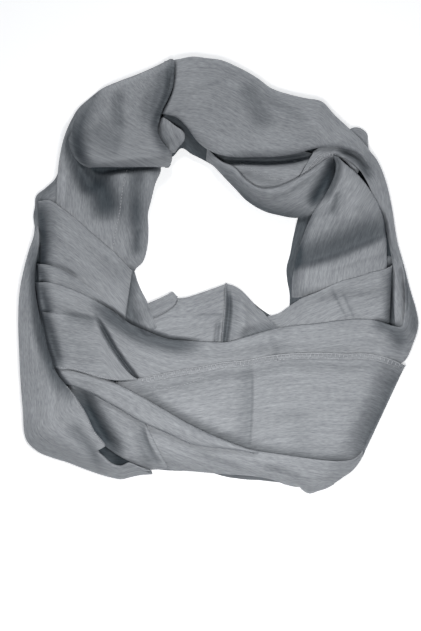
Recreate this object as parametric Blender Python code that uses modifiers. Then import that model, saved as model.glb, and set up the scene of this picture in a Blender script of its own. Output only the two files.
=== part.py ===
"""A plain chiffon scarf, joined into a loop, wound twice and laid flat in a ring.

Places on the cloth are plan millimetres, as on a lay plan seen from above: x runs to the
right and y runs down the sheet. The ring's hidden layers are one rounded core with a flat
underside. Each stretch of cloth that shows is a thin wall lofted between its two edges and
laid on whatever is under it, from the bottom of the pile to the top.
"""

from collections import namedtuple
from math import pi

import bmesh
import bpy
import numpy as np

MM = 0.001

# Where the plan's middle lies, which is the origin of the part
PLAN_MIDDLE = (217.8, 275.1)
PLAN_SIZE = (440, 540)

# The mound that the layers make
EDGE_HEIGHT = 8.5
CREST_TOP = 19.0
CREST_FRONT = 26.0
CREST_TOP_Y = 100.0
CREST_FRONT_Y = 400.0
FLANK_OUTER = 26.0
FLANK_HOLE = 22.0

# The cloth and how close its layers lie
WALL = 1.2
LAYER_GAP = 0.5
SLOPE_SLACK = 0.35
CORE_COVER = 1.2
BRIDGE_REACH = 4
BRIDGE_SOFTNESS = 5.0
SAMPLE_STEP = 0.8
SETTLE_ROUNDS = 12
TROUGH_TAPER = 0.28
LOWEST_CLOTH = 4.0
CORE_REACH = 3

# The core's folded layers at its sides: how far in from the edge, and how high
SIDE_LIPS = ((7.5, 0.0), (4.4, 1.2), (3.6, 2.6), (5.2, 3.7), (3.8, 5.0), (4.0, 6.4), (5.6, 7.6))
FLANK_STATIONS = (10.0, 17.0, 27.0)
CORE_SECTIONS_ROUND = 44

CLOTH_COLOUR = (0.235, 0.262, 0.292, 1.0)
CLOTH_ROUGHNESS = 0.55

# Columns: outer edge x and y, hole edge x and y, going clockwise on the plan from the top
RING_SECTIONS = (
    (186, 56.5, 178, 148),
    (222, 60, 200, 158),
    (255, 76, 224, 175),
    (283, 92, 244, 197),
    (320, 100, 270, 212),
    (350, 129, 296, 217),
    (371, 151, 297, 226),
    (387, 184, 292, 246),
    (396, 232, 286.5, 268),
    (408, 280, 290, 286),
    (419, 322, 289, 306),
    (407, 358, 270, 317),
    (388, 407, 252, 302),
    (364, 452, 238, 288),
    (343, 478, 222, 285),
    (300, 488, 200, 293),
    (262, 484, 189, 296),
    (226, 480.5, 180, 297),
    (205, 475, 175, 295),
    (180, 476, 168, 294),
    (150, 474, 158, 299),
    (110, 477, 148, 302),
    (60, 460.5, 142, 292),
    (27, 440, 136, 279),
    (20.5, 388, 133.5, 272),
    (18, 330, 138, 266),
    (21, 280, 146, 255),
    (34, 233, 148, 232),
    (34, 203, 149, 204),
    (57, 170, 155, 182),
    (66, 129, 164, 168.5),
    (95, 92, 171, 160),
    (140, 72, 173, 155),
)

# Columns for every stretch below: one edge x and y, the other edge x and y
RIGHT_INNER_STRIP = (
    (301, 207, 322, 207),
    (297.5, 221, 316, 222),
    (293.5, 238, 311, 240),
    (290.5, 254, 307, 256),
    (287, 268, 303, 270),
    (288, 282, 303, 285),
    (290, 293, 304, 297),
    (290, 306, 306, 309),
)
LEFT_BACK_FOLD = (
    (60, 160, 72, 166),
    (55, 177, 70, 182),
    (45, 187, 68, 198),
    (35, 196, 66, 212),
    (34, 206, 66, 222),
    (32.5, 215, 66, 230),
    (35, 231, 62, 244),
)
CORNER_EAR = (
    (347, 131, 336, 152),
    (354, 126.5, 340, 157),
    (362, 127.5, 345, 161),
    (368, 133, 349, 165),
    (368.8, 143, 353, 169),
    (370, 153, 358, 173),
)
BOTTOM_TIP = (
    (298, 485, 298, 472),
    (303, 491, 304, 474),
    (310, 494.5, 311, 475),
    (319, 492, 319, 475),
    (328, 489, 327, 474),
    (335, 485, 334, 471),
)
TOP_UNDER_FOLD = (
    (158, 104, 160, 140),
    (170, 106, 171, 156),
    (184, 112, 181, 147.5),
    (198, 124, 192, 153.5),
    (210, 136, 204, 159.5),
    (222, 146, 216, 167),
    (236, 151, 226, 177),
)
GAP_FLAP = (
    (150, 112, 163, 116),
    (150, 122, 174, 124.5),
    (152, 132, 184, 132.5),
    (156, 141, 184, 140),
    (160, 150, 178, 147),
    (165, 156, 174, 153),
)
LEFT_DROP = (
    (84, 101, 122, 108),
    (73, 115, 137, 126),
    (64, 136, 150, 146),
    (60, 152, 158, 160),
    (58, 166, 160.5, 169),
    (56.8, 182, 155, 183),
    (56.5, 198, 150.5, 201),
    (56.5, 214, 147.5, 214),
    (58, 228, 148, 229),
    (62, 242, 147, 246),
    (68, 256, 142.5, 261.5),
    (78, 268, 135.5, 268.5),
    (92, 276, 133, 273),
)
SEAM_TUCK = (
    (216, 150, 224, 168),
    (236, 150, 240, 181),
    (262, 149, 262, 193),
    (283, 149, 281, 191),
    (299, 150, 290, 185),
    (313, 153, 299, 177),
)
HOLLOW_FOLD = (
    (374, 258, 399, 254),
    (377, 282, 402, 280),
    (379, 304, 404, 303),
    (382, 332, 406, 330),
)
RIGHT_OUTER_STRIP = (
    (314, 151, 297, 181),
    (322, 145, 312, 173),
    (333, 139.5, 327, 160),
    (346, 138, 339, 156.5),
    (359, 142, 351, 161.5),
    (369, 149.5, 361, 171),
    (376, 157, 368, 183),
    (382, 168, 373, 196),
    (388, 186, 375, 209),
    (393, 210, 378, 220),
    (396, 231, 386.5, 229),
    (399, 246, 390, 246),
    (403.5, 261, 393, 261),
    (408, 280, 394, 281),
    (413, 299, 394, 301),
    (417, 314, 395, 318),
    (417.5, 330, 397, 336),
)
HAMMOCK_FOLD = (
    (207, 148, 206, 159),
    (215, 156, 214, 165.5),
    (223, 162, 223, 175),
    (234, 167, 235, 187.5),
    (247, 180.5, 248, 200.5),
    (260, 188, 264, 210),
    (276, 187.5, 280, 214.5),
    (292, 181, 296, 217),
    (308, 172, 309, 215),
    (322, 162, 324, 208),
    (333, 155.5, 342, 198),
)
TOP_RIGHT_BAND = (
    (164, 60, 150, 108),
    (178, 58.5, 162, 113),
    (192, 56, 176, 116.5),
    (207, 57.5, 187, 126.5),
    (222, 59.7, 197, 140),
    (238, 66.5, 209, 149.5),
    (256, 76.5, 228, 156),
    (272, 88, 255, 156.5),
    (290, 94, 277, 155.8),
    (306, 97.8, 297, 152.8),
    (322, 101, 312, 148.5),
    (335, 114.5, 328, 146.4),
    (350, 128.5, 345, 148),
    (361, 139, 357, 152),
    (369, 149, 365, 159.5),
    (374, 155, 371, 167),
)
# The cap's rows run from its left side to its crease with the band and its right side
TOP_CAP = (
    (170, 57.5, 174, 60),
    (157, 64, 174, 68),
    (138, 72.5, 173.5, 77),
    (118, 80, 172, 88),
    (101, 87.5, 167, 100),
    (88, 97.5, 162, 110),
    (77, 108, 159, 120),
    (71, 119, 157, 130),
    (68.5, 130, 159, 137),
    (68.5, 142, 163.5, 143.5),
    (71.5, 152.5, 169, 150),
    (77, 160, 171.5, 156.5),
    (82.5, 164.5, 170.5, 162),
    (88, 167, 168, 166),
)
RIGHT_LOBE = (
    (334, 156, 338, 157),
    (336.5, 164, 345.5, 164),
    (335.5, 174, 355, 172),
    (330.5, 186, 364, 182),
    (323, 199, 372, 194),
    (314.5, 211, 379, 207),
    (308, 225, 384, 221),
    (303, 238, 386, 236),
    (299, 250, 386.5, 250),
    (295.5, 264, 386.5, 264),
    (293, 280, 385, 279),
    (292.5, 300, 380, 296),
)
INNER_PEAK_LEFT = (
    (148, 306, 142, 338),
    (160, 302, 156, 346),
    (173, 298.5, 172, 350),
    (186, 297.5, 188, 352),
    (198, 293.8, 200, 352),
    (211, 289.3, 211, 352),
    (220, 286, 218, 352),
    (226.5, 283.5, 224, 352),
)
INNER_PEAK_FOLD = (
    (141, 306, 144, 322),
    (150, 302.3, 153, 317.5),
    (160, 298, 161, 314),
    (167, 294.5, 168, 310),
    (172.5, 291.8, 174.5, 305),
    (177, 296.5, 177, 300),
)
CROSS_BAND = (
    (256, 324, 262, 352),
    (267, 317, 275, 352),
    (279, 313.5, 289, 351),
    (290, 306, 302, 350),
    (303, 297.8, 316, 349),
    (317, 292.3, 330, 349),
    (330, 286, 342, 349),
    (343, 280.8, 354, 348),
    (357, 277.3, 366, 346),
    (372, 272.5, 378, 344),
    (384, 269.5, 386, 342),
    (392, 266, 389, 340),
)
INNER_PEAK_RIGHT = (
    (226, 283.8, 221, 352),
    (233, 285.5, 231, 352),
    (241, 290, 243, 352),
    (250, 299, 255, 350),
    (258, 308, 265, 348),
    (264, 313, 273, 346),
    (271, 321, 280, 344),
    (279, 330, 287, 342),
)
INNER_FLAP = (
    (134, 271, 118, 266),
    (137, 281, 114, 284),
    (141.5, 291.5, 112, 298),
    (146.5, 301, 112, 310),
    (150, 310, 114, 322),
    (153, 318, 120, 334),
    (158, 330, 130, 344),
)
LEFT_BAND_UPPER = (
    (38, 201, 41, 300),
    (49, 200.5, 55, 305),
    (61, 207.5, 69, 309),
    (75, 218, 83, 313),
    (90, 231.5, 96, 318),
    (104, 243.5, 106, 323),
    (115, 253, 110, 325),
    (124, 262.5, 117.5, 327),
    (131.5, 270.5, 124, 326),
)
LEFT_BAND_LOWER = (
    (37, 264, 40, 308),
    (47, 264.8, 52, 310),
    (58, 268, 65, 313),
    (69, 273.5, 79, 317),
    (80, 280.5, 93, 322),
    (92, 289, 104, 328),
    (104, 298, 114, 333),
    (115, 307, 122, 337),
)
FRONT_BAND = (
    (35, 283, 46, 362),
    (50, 283, 58, 366),
    (66, 287.5, 72, 367),
    (82, 294, 88, 370),
    (98, 302.5, 104, 374),
    (115, 313, 120, 378),
    (130, 324, 135, 384),
    (146, 331, 151, 386),
    (165, 338.5, 170, 383),
    (185, 341, 190, 379),
    (207, 342, 210, 374.5),
    (225, 342.5, 228, 372),
    (245, 337.5, 248, 370),
    (267, 331.3, 270, 366),
    (290, 326.5, 292, 363.5),
    (317, 324, 320, 363),
    (342, 320.7, 348, 363),
    (365, 319.5, 374, 364),
    (381, 322, 393, 365.5),
    (393, 326, 406, 360),
    (401, 326.8, 413, 345.5),
    (404, 319, 418.8, 326),
    (405.5, 307, 416.5, 309),
    (405.8, 294, 412, 294),
    (404.5, 279, 407.8, 279),
    (402, 264, 404, 264),
)
HEM_PANEL = (
    (116, 381.5, 112, 392),
    (128, 381, 126, 402),
    (141, 378, 142, 411),
    (160, 374, 162, 423),
    (180, 370, 182, 434),
    (200, 367, 203, 444),
    (222, 362.3, 224, 454),
    (246, 360, 247, 462),
    (270, 355.5, 271, 466),
    (296, 353, 295, 470),
    (322, 352.5, 318, 472),
    (346, 353.5, 336, 472),
    (368, 353.5, 347, 470),
    (385, 357, 354, 467),
    (397, 361.5, 359, 463),
    (406, 366, 363, 458),
)
BOTTOM_BAND = (
    (136, 413, 150, 467),
    (150, 418, 168, 469.5),
    (165, 424, 182, 470.8),
    (180, 430, 196, 472),
    (196, 436, 211, 473.4),
    (213, 441, 228, 474.6),
    (230, 445, 245, 475.6),
    (248, 449, 259, 477.2),
    (263, 452, 272, 479.8),
    (281, 454.5, 286, 485),
    (298, 457, 298, 487.3),
    (314, 459.3, 313, 484.5),
    (330, 461, 331, 485.3),
    (344, 461.3, 344, 477.5),
    (354, 459.5, 354, 470.3),
    (360, 455.5, 361.5, 460),
    (363, 452, 364, 454),
)
LOWER_BAND = (
    (70, 378, 66, 394),
    (84, 384, 80, 410),
    (98, 391, 90, 430),
    (110, 397, 101, 443),
    (121, 403, 114, 453),
    (131, 409, 129, 461),
    (137, 413, 143, 467),
    (141, 416, 156, 469.5),
    (144, 420, 168, 469),
)
LOWER_ROLL = (
    (48, 362, 54, 379),
    (60, 367, 62, 382),
    (76, 371, 76, 386.5),
    (92, 375, 92, 393),
    (108, 380, 106, 401),
    (124, 387.5, 122, 410),
    (140, 396, 138, 419.5),
    (157, 406, 152, 426),
    (175, 416.5, 170, 434),
    (193, 426.5, 190, 443),
    (212, 435.5, 208, 446.5),
    (232, 443.5, 228, 448.5),
    (248, 449, 246, 451),
    (262, 452.3, 261, 453.7),
)
FRONT_BAND_LEFT = (
    (41, 312, 46, 364),
    (53, 313, 58, 368.5),
    (66, 315, 70, 369.2),
    (78, 317, 83, 372.3),
    (89, 319, 96, 376.5),
    (97, 322, 108, 379.2),
    (102, 332, 116, 380.2),
    (109, 344.5, 123, 380.4),
    (117, 357, 129, 380.2),
    (125, 368.5, 135, 379.7),
    (131, 377, 140, 379),
)
LEFT_OUTER_BAND = (
    (34.5, 226, 37, 226),
    (33.5, 235, 38.5, 236),
    (28.5, 250, 37.5, 250),
    (24, 267, 34.5, 266),
    (19.5, 290, 34, 288),
    (18, 320, 39, 318),
    (19, 352, 47, 350),
    (20.5, 383, 58, 376),
    (22.5, 408, 69, 389),
    (26, 440, 78, 401),
    (37, 451.5, 86, 414),
    (52, 458, 94, 431),
    (68, 463, 105, 446),
    (84, 469, 98, 450),
    (98, 474, 105, 458),
    (110, 477.5, 113, 464.5),
    (121, 479.5, 121, 466),
    (130, 477.5, 129, 463),
    (140, 475.3, 139, 467),
    (152, 474.5, 151, 471.2),
)

Stretch = namedtuple("Stretch", "name rows cells rise roll ends")

# From the bottom of the pile to the top. cells are how many along and across, rise is how
# far the cloth stands off what it lies on, roll is how wide its edges turn down, and ends
# is the same at its first and last row
STRETCHES = (
    Stretch("right_inner_strip", RIGHT_INNER_STRIP, (9, 3), 1.5, 5, (8, 8)),
    Stretch("left_back_fold", LEFT_BACK_FOLD, (8, 3), 1.0, 6, (8, 8)),
    Stretch("corner_ear", CORNER_EAR, (6, 4), 0.4, 5, (4, 6)),
    Stretch("bottom_tip", BOTTOM_TIP, (6, 3), 0.8, 5, (5, 5)),
    Stretch("top_under_fold", TOP_UNDER_FOLD, (8, 3), 0.8, 5, (8, 8)),
    Stretch("gap_flap", GAP_FLAP, (5, 3), 1.5, 5, (6, 6)),
    Stretch("left_drop", LEFT_DROP, (14, 6), 2.0, 8, (12, 12)),
    Stretch("seam_tuck", SEAM_TUCK, (8, 4), 2.5, 6, (8, 6)),
    Stretch("hollow_fold", HOLLOW_FOLD, (6, 3), 0.8, 6, (6, 8)),
    Stretch("right_outer_strip", RIGHT_OUTER_STRIP, (18, 4), 2.5, 7, (8, 10)),
    Stretch("hammock_fold", HAMMOCK_FOLD, (14, 5), 6.0, 9, (14, 12)),
    Stretch("top_right_band", TOP_RIGHT_BAND, (16, 6), 8.0, 10, (14, 14)),
    Stretch("top_cap", TOP_CAP, (14, 6), 8.5, 10, (12, 8)),
    Stretch("right_lobe", RIGHT_LOBE, (14, 6), 6.0, 9, (6, 14)),
    Stretch("inner_peak_left", INNER_PEAK_LEFT, (9, 4), 1.5, 7, (10, 5)),
    Stretch("inner_peak_fold", INNER_PEAK_FOLD, (9, 5), 0.3, 4, (5, 4)),
    Stretch("cross_band", CROSS_BAND, (14, 5), 2.5, 8, (8, 6)),
    Stretch("inner_peak_right", INNER_PEAK_RIGHT, (9, 4), 2.5, 7, (5, 6)),
    Stretch("inner_flap", INNER_FLAP, (8, 4), 1.2, 6, (6, 10)),
    Stretch("left_band_upper", LEFT_BAND_UPPER, (10, 6), 3.2, 8, (8, 6)),
    Stretch("left_band_lower", LEFT_BAND_LOWER, (9, 4), 1.2, 7, (8, 30)),
    Stretch("front_band", FRONT_BAND, (28, 5), 4.5, 9, (10, 8)),
    Stretch("hem_panel", HEM_PANEL, (16, 6), 1.0, 7, (8, 6)),
    Stretch("bottom_band", BOTTOM_BAND, (19, 4), 2.5, 7, (8, 5)),
    Stretch("lower_band", LOWER_BAND, (10, 5), 2.5, 7, (6, 5)),
    Stretch("lower_roll", LOWER_ROLL, (18, 4), 6.0, 7, (8, 10)),
    Stretch("front_band_left", FRONT_BAND_LEFT, (12, 5), 1.5, 9, (8, 5)),
    Stretch("left_outer_band", LEFT_OUTER_BAND, (22, 4), 5.0, 8, (8, 6)),
)

Trough = namedtuple("Trough", "depth width path")

# The deep creases of the cloth: how deep, how wide and where. Each one also sinks what is
# under its stretch
TROUGHS = {
    "right_inner_strip": (
        Trough(8, 10, ((314, 200), (305, 225), (300, 248), (297, 270), (298, 300))),
    ),
    "top_under_fold": (
        Trough(7, 10, ((164, 116), (182, 130), (198, 144), (218, 164))),
    ),
    "hollow_fold": (
        Trough(8, 8, ((391, 256), (392, 290), (393, 334))),
    ),
    "left_drop": (
        Trough(10, 11, ((86, 88), (78, 112), (75, 136), (77, 158), (86, 180), (98, 198))),
        Trough(5, 14, ((92, 160), (99, 182), (106, 206), (108, 222))),
    ),
    "seam_tuck": (
        Trough(6, 8, ((206, 150), (222, 157), (250, 159.5), (285, 159), (306, 155.5), (326, 149))),
    ),
    "hammock_fold": (
        Trough(8, 11, ((222, 186), (250, 210), (280, 223), (306, 224), (334, 212))),
    ),
    "top_right_band": (
        Trough(4, 11, ((244, 80), (256, 104), (268, 132))),
    ),
    "top_cap": (
        Trough(7, 8, ((174, 52), (172, 74), (168, 96), (161, 112), (157, 126), (157, 140))),
        Trough(5, 15, ((90, 126), (104, 140), (124, 148))),
        Trough(9, 11, ((96, 84), (83, 110), (78, 134), (79, 154), (86, 176))),
    ),
    "right_lobe": (
        Trough(9, 13, ((402, 226), (380, 236), (356, 246), (334, 255), (296, 266))),
    ),
    "inner_peak_right": (
        Trough(4, 7, ((229.5, 284), (231.5, 312), (228, 352))),
    ),
    "inner_flap": (
        Trough(7, 9, ((136, 262), (130, 284), (128, 304), (138, 332))),
    ),
    "left_band_upper": (
        Trough(6, 9, ((36, 196), (41, 220), (41, 242), (39, 270))),
    ),
    "front_band": (
        Trough(9, 13, ((90, 297), (114, 321), (140, 336), (172, 346), (206, 349))),
        Trough(5, 9, ((372, 318), (394, 330), (406, 352))),
    ),
    "hem_panel": (
        Trough(4, 9, ((120, 390), (150, 405), (180, 422), (210, 437), (240, 448), (274, 456))),
        Trough(6, 17, ((406, 362), (392, 396), (376, 430), (362, 466))),
    ),
    "lower_band": (
        Trough(8, 13, ((84, 390), (100, 412), (116, 434), (128, 460))),
    ),
    "left_outer_band": (
        Trough(8, 10, ((37, 240), (39, 280), (43, 318), (51, 350), (62, 380), (78, 406))),
    ),
}


def clear_scene():
    for obj in list(bpy.data.objects):
        bpy.data.objects.remove(obj, do_unlink=True)


def smooth_rows(rows, count, loop=False):
    """Rows read off at count even steps of a smooth curve through the given ones."""
    points = np.array(rows, float)
    if loop:
        points = np.vstack([points[-2:], points, points[:3]])
    steps = np.diff(points, axis=0)
    length = 0.5 * (np.hypot(steps[:, 0], steps[:, 1]) + np.hypot(steps[:, 2], steps[:, 3]))
    knots = np.concatenate([[0.0], np.cumsum(np.maximum(length, 1.0))])
    gaps = np.diff(knots)[:, None]
    slopes = steps / gaps
    tangents = np.vstack([slopes[:1], slopes[1:], slopes[-1:]])
    tangents[1:-1] = (slopes[:-1] * gaps[1:] + slopes[1:] * gaps[:-1]) / (gaps[1:] + gaps[:-1])
    if loop:
        at = np.linspace(knots[2], knots[-3], count, endpoint=False)
    else:
        at = np.linspace(knots[0], knots[-1], count)
    k = np.clip(np.searchsorted(knots, at, side="right") - 1, 0, len(gaps) - 1)
    s = ((at - knots[k]) / gaps[k, 0])[:, None]
    h = gaps[k]
    return (
        (1 + 2 * s) * (1 - s) ** 2 * points[k]
        + s * (1 - s) ** 2 * h * tangents[k]
        + s * s * (3 - 2 * s) * points[k + 1]
        + s * s * (s - 1) * h * tangents[k + 1]
    )


class Plan:
    """A value for each square of the plan, read smoothly between squares."""

    def __init__(self, step, value=0.0):
        self.step = step
        shape = (int(PLAN_SIZE[1] / step) + 1, int(PLAN_SIZE[0] / step) + 1)
        self.value = np.full(shape, value)

    def at(self, x, y):
        rows, cols = self.value.shape
        fx = np.clip(np.asarray(x) / self.step, 0, cols - 1.001)
        fy = np.clip(np.asarray(y) / self.step, 0, rows - 1.001)
        i, j = fy.astype(int), fx.astype(int)
        s, t = fx - j, fy - i
        v = self.value
        upper = v[i, j] * (1 - s) + v[i, j + 1] * s
        lower = v[i + 1, j] * (1 - s) + v[i + 1, j + 1] * s
        return upper * (1 - t) + lower * t

    def raise_to(self, x, y, z):
        rows, cols = self.value.shape
        j = np.clip(np.rint(x / self.step).astype(int), 0, cols - 1)
        i = np.clip(np.rint(y / self.step).astype(int), 0, rows - 1)
        np.maximum.at(self.value, (i.ravel(), j.ravel()), z.ravel())

    def widened(self, reach):
        """The highest value within reach squares along each direction."""
        out = Plan(self.step)
        out.value = self.value.copy()
        for axis in (0, 1):
            best = out.value.copy()
            for shift in range(1, reach + 1):
                for turn in (-shift, shift):
                    best = np.maximum(best, np.roll(out.value, turn, axis))
            out.value = best
        return out

    def softened(self, spread):
        """A bell-shaped average over about spread millimetres."""
        reach = int(2.5 * spread / self.step)
        weights = np.exp(-0.5 * (np.arange(-reach, reach + 1) * self.step / spread) ** 2)
        weights /= weights.sum()
        out = Plan(self.step)
        out.value = self.value
        for axis in (0, 1):
            out.value = sum(
                w * np.roll(out.value, s, axis)
                for w, s in zip(weights, range(-reach, reach + 1), strict=True)
            )
        return out


def distance_inside(x, y, outline):
    """How far each place is inside a closed outline, below zero where it is outside."""
    start, end = outline, np.roll(outline, -1, axis=0)
    nearest = np.full(x.shape, 1e9)
    inside = np.zeros(x.shape, bool)
    for (ax, ay), (bx, by) in zip(start, end, strict=True):
        dx, dy = bx - ax, by - ay
        t = np.clip(((x - ax) * dx + (y - ay) * dy) / (dx * dx + dy * dy), 0, 1)
        nearest = np.minimum(nearest, np.hypot(x - ax - t * dx, y - ay - t * dy))
        if ay != by:
            crosses = (ay > y) != (by > y)
            inside ^= crosses & (x < ax + (y - ay) * dx / dy)
    return np.where(inside, nearest, -nearest)


def swell(distance, width):
    """From 0 at an edge to 1 at width from it, rounded like a fold."""
    return np.sin(0.5 * pi * np.clip(distance / width, -0.25, 1))


def mound_plan():
    """The smooth height that the whole ring of layers would have."""
    plan = Plan(2.0)
    rows, cols = plan.value.shape
    y, x = np.mgrid[0:rows, 0:cols] * plan.step
    ring = smooth_rows(RING_SECTIONS, 160, loop=True)
    from_outer = distance_inside(x, y, ring[:, 0:2])
    from_hole = -distance_inside(x, y, ring[:, 2:4])
    forward = np.clip((y - CREST_TOP_Y) / (CREST_FRONT_Y - CREST_TOP_Y), 0, 1)
    crest = CREST_TOP + (CREST_FRONT - CREST_TOP) * forward
    rise = np.minimum(swell(from_outer, FLANK_OUTER), swell(from_hole, FLANK_HOLE))
    plan.value = EDGE_HEIGHT + (crest - EDGE_HEIGHT) * rise
    return plan.softened(2.5)


def ease(t):
    """From 0 to 1, level at both ends."""
    t = np.clip(t, 0, 1)
    return t * t * (3 - 2 * t)


def trough_depth(trough, x, y):
    """How far a deep crease lowers each place."""
    path = smooth_rows([(px, py, px, py) for px, py in trough.path], 20)[:, 0:2]
    nearest = np.full(x.shape, 1e9)
    along = np.zeros(x.shape)
    for k, ((ax, ay), (bx, by)) in enumerate(zip(path[:-1], path[1:], strict=True)):
        dx, dy = bx - ax, by - ay
        t = np.clip(((x - ax) * dx + (y - ay) * dy) / (dx * dx + dy * dy), 0, 1)
        gap = np.hypot(x - ax - t * dx, y - ay - t * dy)
        along = np.where(gap < nearest, (k + t) / (len(path) - 1), along)
        nearest = np.minimum(nearest, gap)
    taper = ease(np.minimum(along, 1 - along) / TROUGH_TAPER + 0.1)
    return trough.depth * taper * np.exp(-((nearest / trough.width) ** 2))


def sunken_mounds(mound):
    """The mound under each stretch, with its own deep creases and those of all that lie on it."""
    rows, cols = mound.value.shape
    y, x = np.mgrid[0:rows, 0:cols] * mound.step
    sunk = np.zeros(mound.value.shape)
    mounds = {}
    for stretch in reversed(STRETCHES):
        edges = smooth_rows(stretch.rows, 24)
        outline = np.vstack([edges[:, 0:2], edges[::-1, 2:4]])
        inside = ease(distance_inside(x, y, outline) / 5 + 1)
        for trough in TROUGHS.get(stretch.name, ()):
            sunk += trough_depth(trough, x, y) * inside
        mounds[stretch.name] = Plan(mound.step)
        mounds[stretch.name].value = np.maximum(mound.value - sunk, LOWEST_CLOTH)
    deepest = Plan(mound.step)
    deepest.value = sunk
    mounds["core"] = Plan(mound.step)
    core = mound.value - deepest.widened(CORE_REACH).value
    mounds["core"].value = np.maximum(core, LOWEST_CLOTH)
    return mounds


def split_samples(points, step):
    """Dense places on the two triangles of each cell of a grid of points."""
    p00, p10 = points[:-1, :-1], points[1:, :-1]
    p01, p11 = points[:-1, 1:], points[1:, 1:]
    longest = max(
        np.abs(np.diff(points[..., :2], axis=0)).max(), np.abs(np.diff(points[..., :2], axis=1)).max()
    )
    count = int(longest / step) + 2
    s, t = np.meshgrid(np.linspace(0, 1, count), np.linspace(0, 1, count), indexing="ij")
    s, t = s[..., None, None, None], t[..., None, None, None]
    first = p00 + s * (p10 - p00) + t * (p11 - p10)
    second = p00 + t * (p01 - p00) + s * (p11 - p01)
    weights = np.where(
        s >= t, np.concatenate([1 - s, s - t, 0 * s, t], -1), np.concatenate([1 - t, 0 * s, t - s, s], -1)
    )
    return np.where(s >= t, first, second), weights


def across_stations(width, roll, cells):
    """Where the lines along a stretch lie across it, from 0 to 1, closer at its edges."""
    edge = np.minimum(roll / width, 0.28)[:, None]
    inner = np.linspace(0, 1, cells - 1)[None, :]
    middle = edge + (1 - 2 * edge) * inner
    return np.hstack([0 * edge, middle, 0 * edge + 1])


def stretch_grid(stretch):
    """A stretch's places on the plan, and how much of its full rise each one has."""
    along, across = stretch.cells
    edges = smooth_rows(stretch.rows, along + 1)
    a, b = edges[:, 0:2], edges[:, 2:4]
    width = np.hypot(*(b - a).T)
    v = across_stations(width, stretch.roll, across)
    points = a[:, None] * (1 - v[..., None]) + b[:, None] * v[..., None]
    side = np.minimum(v, 1 - v) * width[:, None]
    middle = 0.5 * (a + b)
    run = np.concatenate([[0.0], np.cumsum(np.hypot(*np.diff(middle, axis=0).T))])
    first = swell(run, stretch.ends[0])
    last = swell(run[-1] - run, stretch.ends[1])
    rise = swell(side, np.minimum(stretch.roll, 0.5 * width)[:, None]) * (first * last)[:, None]
    return points, np.clip(rise, 0, 1)


def up_normals(points):
    """Unit normals of a grid of points, pointing up."""
    along = np.gradient(points, axis=0)
    across = np.gradient(points, axis=1)
    normal = np.cross(along, across)
    normal *= np.sign(normal[..., 2:3])
    return normal / np.linalg.norm(normal, axis=-1, keepdims=True)


def clearance(points, top):
    samples, weights = split_samples(points, SAMPLE_STEP)
    need = top.at(samples[..., 0], samples[..., 1]) + LAYER_GAP
    return samples[..., 2] - need, weights


def settle(points, pile_top):
    """Lift a stretch's points until its underside clears what it lies on, then lower it."""
    top = pile_top.widened(1)
    for turn in range(SETTLE_ROUNDS):
        clear, weights = clearance(points, top)
        short = np.maximum(-clear, 0)[..., None] * weights
        if turn < SETTLE_ROUNDS - 1:
            lift = 1.5 * short.max(axis=(0, 1))
        else:
            lift = np.repeat(np.maximum(-clear, 0).max(axis=(0, 1))[..., None], 4, -1)
        for corner, (di, dj) in enumerate(((0, 0), (1, 0), (0, 1), (1, 1))):
            rows, cols = lift.shape[:2]
            view = points[di : di + rows, dj : dj + cols, 2]
            view += lift[..., corner] / (2 if turn < SETTLE_ROUNDS - 1 else 1)
    clear, _ = clearance(points, pile_top)
    points[..., 2] -= max(clear.min() - SLOPE_SLACK, 0)


def lay_stretch(stretch, mound, top):
    """Lay one stretch on the pile, and add it to the pile."""
    plan_points, rise = stretch_grid(stretch)
    x, y = plan_points[..., 0], plan_points[..., 1]
    pile = Plan(top.step)
    rows, cols = pile.value.shape
    gy, gx = np.mgrid[0:rows, 0:cols] * pile.step
    pile.value = np.maximum(top.value - mound.at(gx, gy), 0)
    under = pile.widened(BRIDGE_REACH).softened(BRIDGE_SOFTNESS)
    z = mound.at(x, y) + under.at(x, y) + LAYER_GAP + stretch.rise * rise
    points = np.dstack([x, y, z])
    settle(points, top)
    upper, _ = split_samples(points + up_normals(points) * (WALL + 0.1), SAMPLE_STEP)
    top.raise_to(upper[..., 0], upper[..., 1], upper[..., 2])
    return points


def to_part_frame(points):
    out = np.empty_like(points)
    out[..., 0] = (points[..., 0] - PLAN_MIDDLE[0]) * MM
    out[..., 1] = (PLAN_MIDDLE[1] - points[..., 1]) * MM
    out[..., 2] = points[..., 2] * MM
    return out


def cloth_material(name):
    material = bpy.data.materials.new(name)
    material.use_nodes = True
    shader = material.node_tree.nodes["Principled BSDF"]
    shader.inputs["Base Color"].default_value = CLOTH_COLOUR
    shader.inputs["Roughness"].default_value = CLOTH_ROUGHNESS
    shader.inputs["Metallic"].default_value = 0.0
    return material


def mesh_object(name, build, collection):
    bm = bmesh.new()
    build(bm)
    mesh = bpy.data.meshes.new(name)
    bm.to_mesh(mesh)
    bm.free()
    mesh.shade_smooth()
    mesh.materials.append(cloth_material(name))
    obj = bpy.data.objects.new(name, mesh)
    collection.objects.link(obj)
    return obj


def fill_grid(bm, points, loop):
    """Triangles over a grid of points, joined up both ways where it is a loop."""
    rows, cols = points.shape[:2]
    verts = [[bm.verts.new(p) for p in row] for row in to_part_frame(points)]
    for i in range(rows if loop else rows - 1):
        for j in range(cols if loop else cols - 1):
            k, m = (i + 1) % rows, (j + 1) % cols
            bm.faces.new((verts[i][j], verts[k][j], verts[k][m]))
            bm.faces.new((verts[i][j], verts[k][m], verts[i][m]))


def make_stretch(stretch, mound, top, collection):
    points = lay_stretch(stretch, mound, top)

    def build(bm):
        fill_grid(bm, points, loop=False)
        bm.normal_update()
        if sum(face.normal.z for face in bm.faces) < 0:
            bmesh.ops.reverse_faces(bm, faces=bm.faces)

    obj = mesh_object(stretch.name, build, collection)
    shell = obj.modifiers.new("wall", "SOLIDIFY")
    shell.thickness = WALL * MM
    shell.offset = 1.0
    return obj


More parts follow.
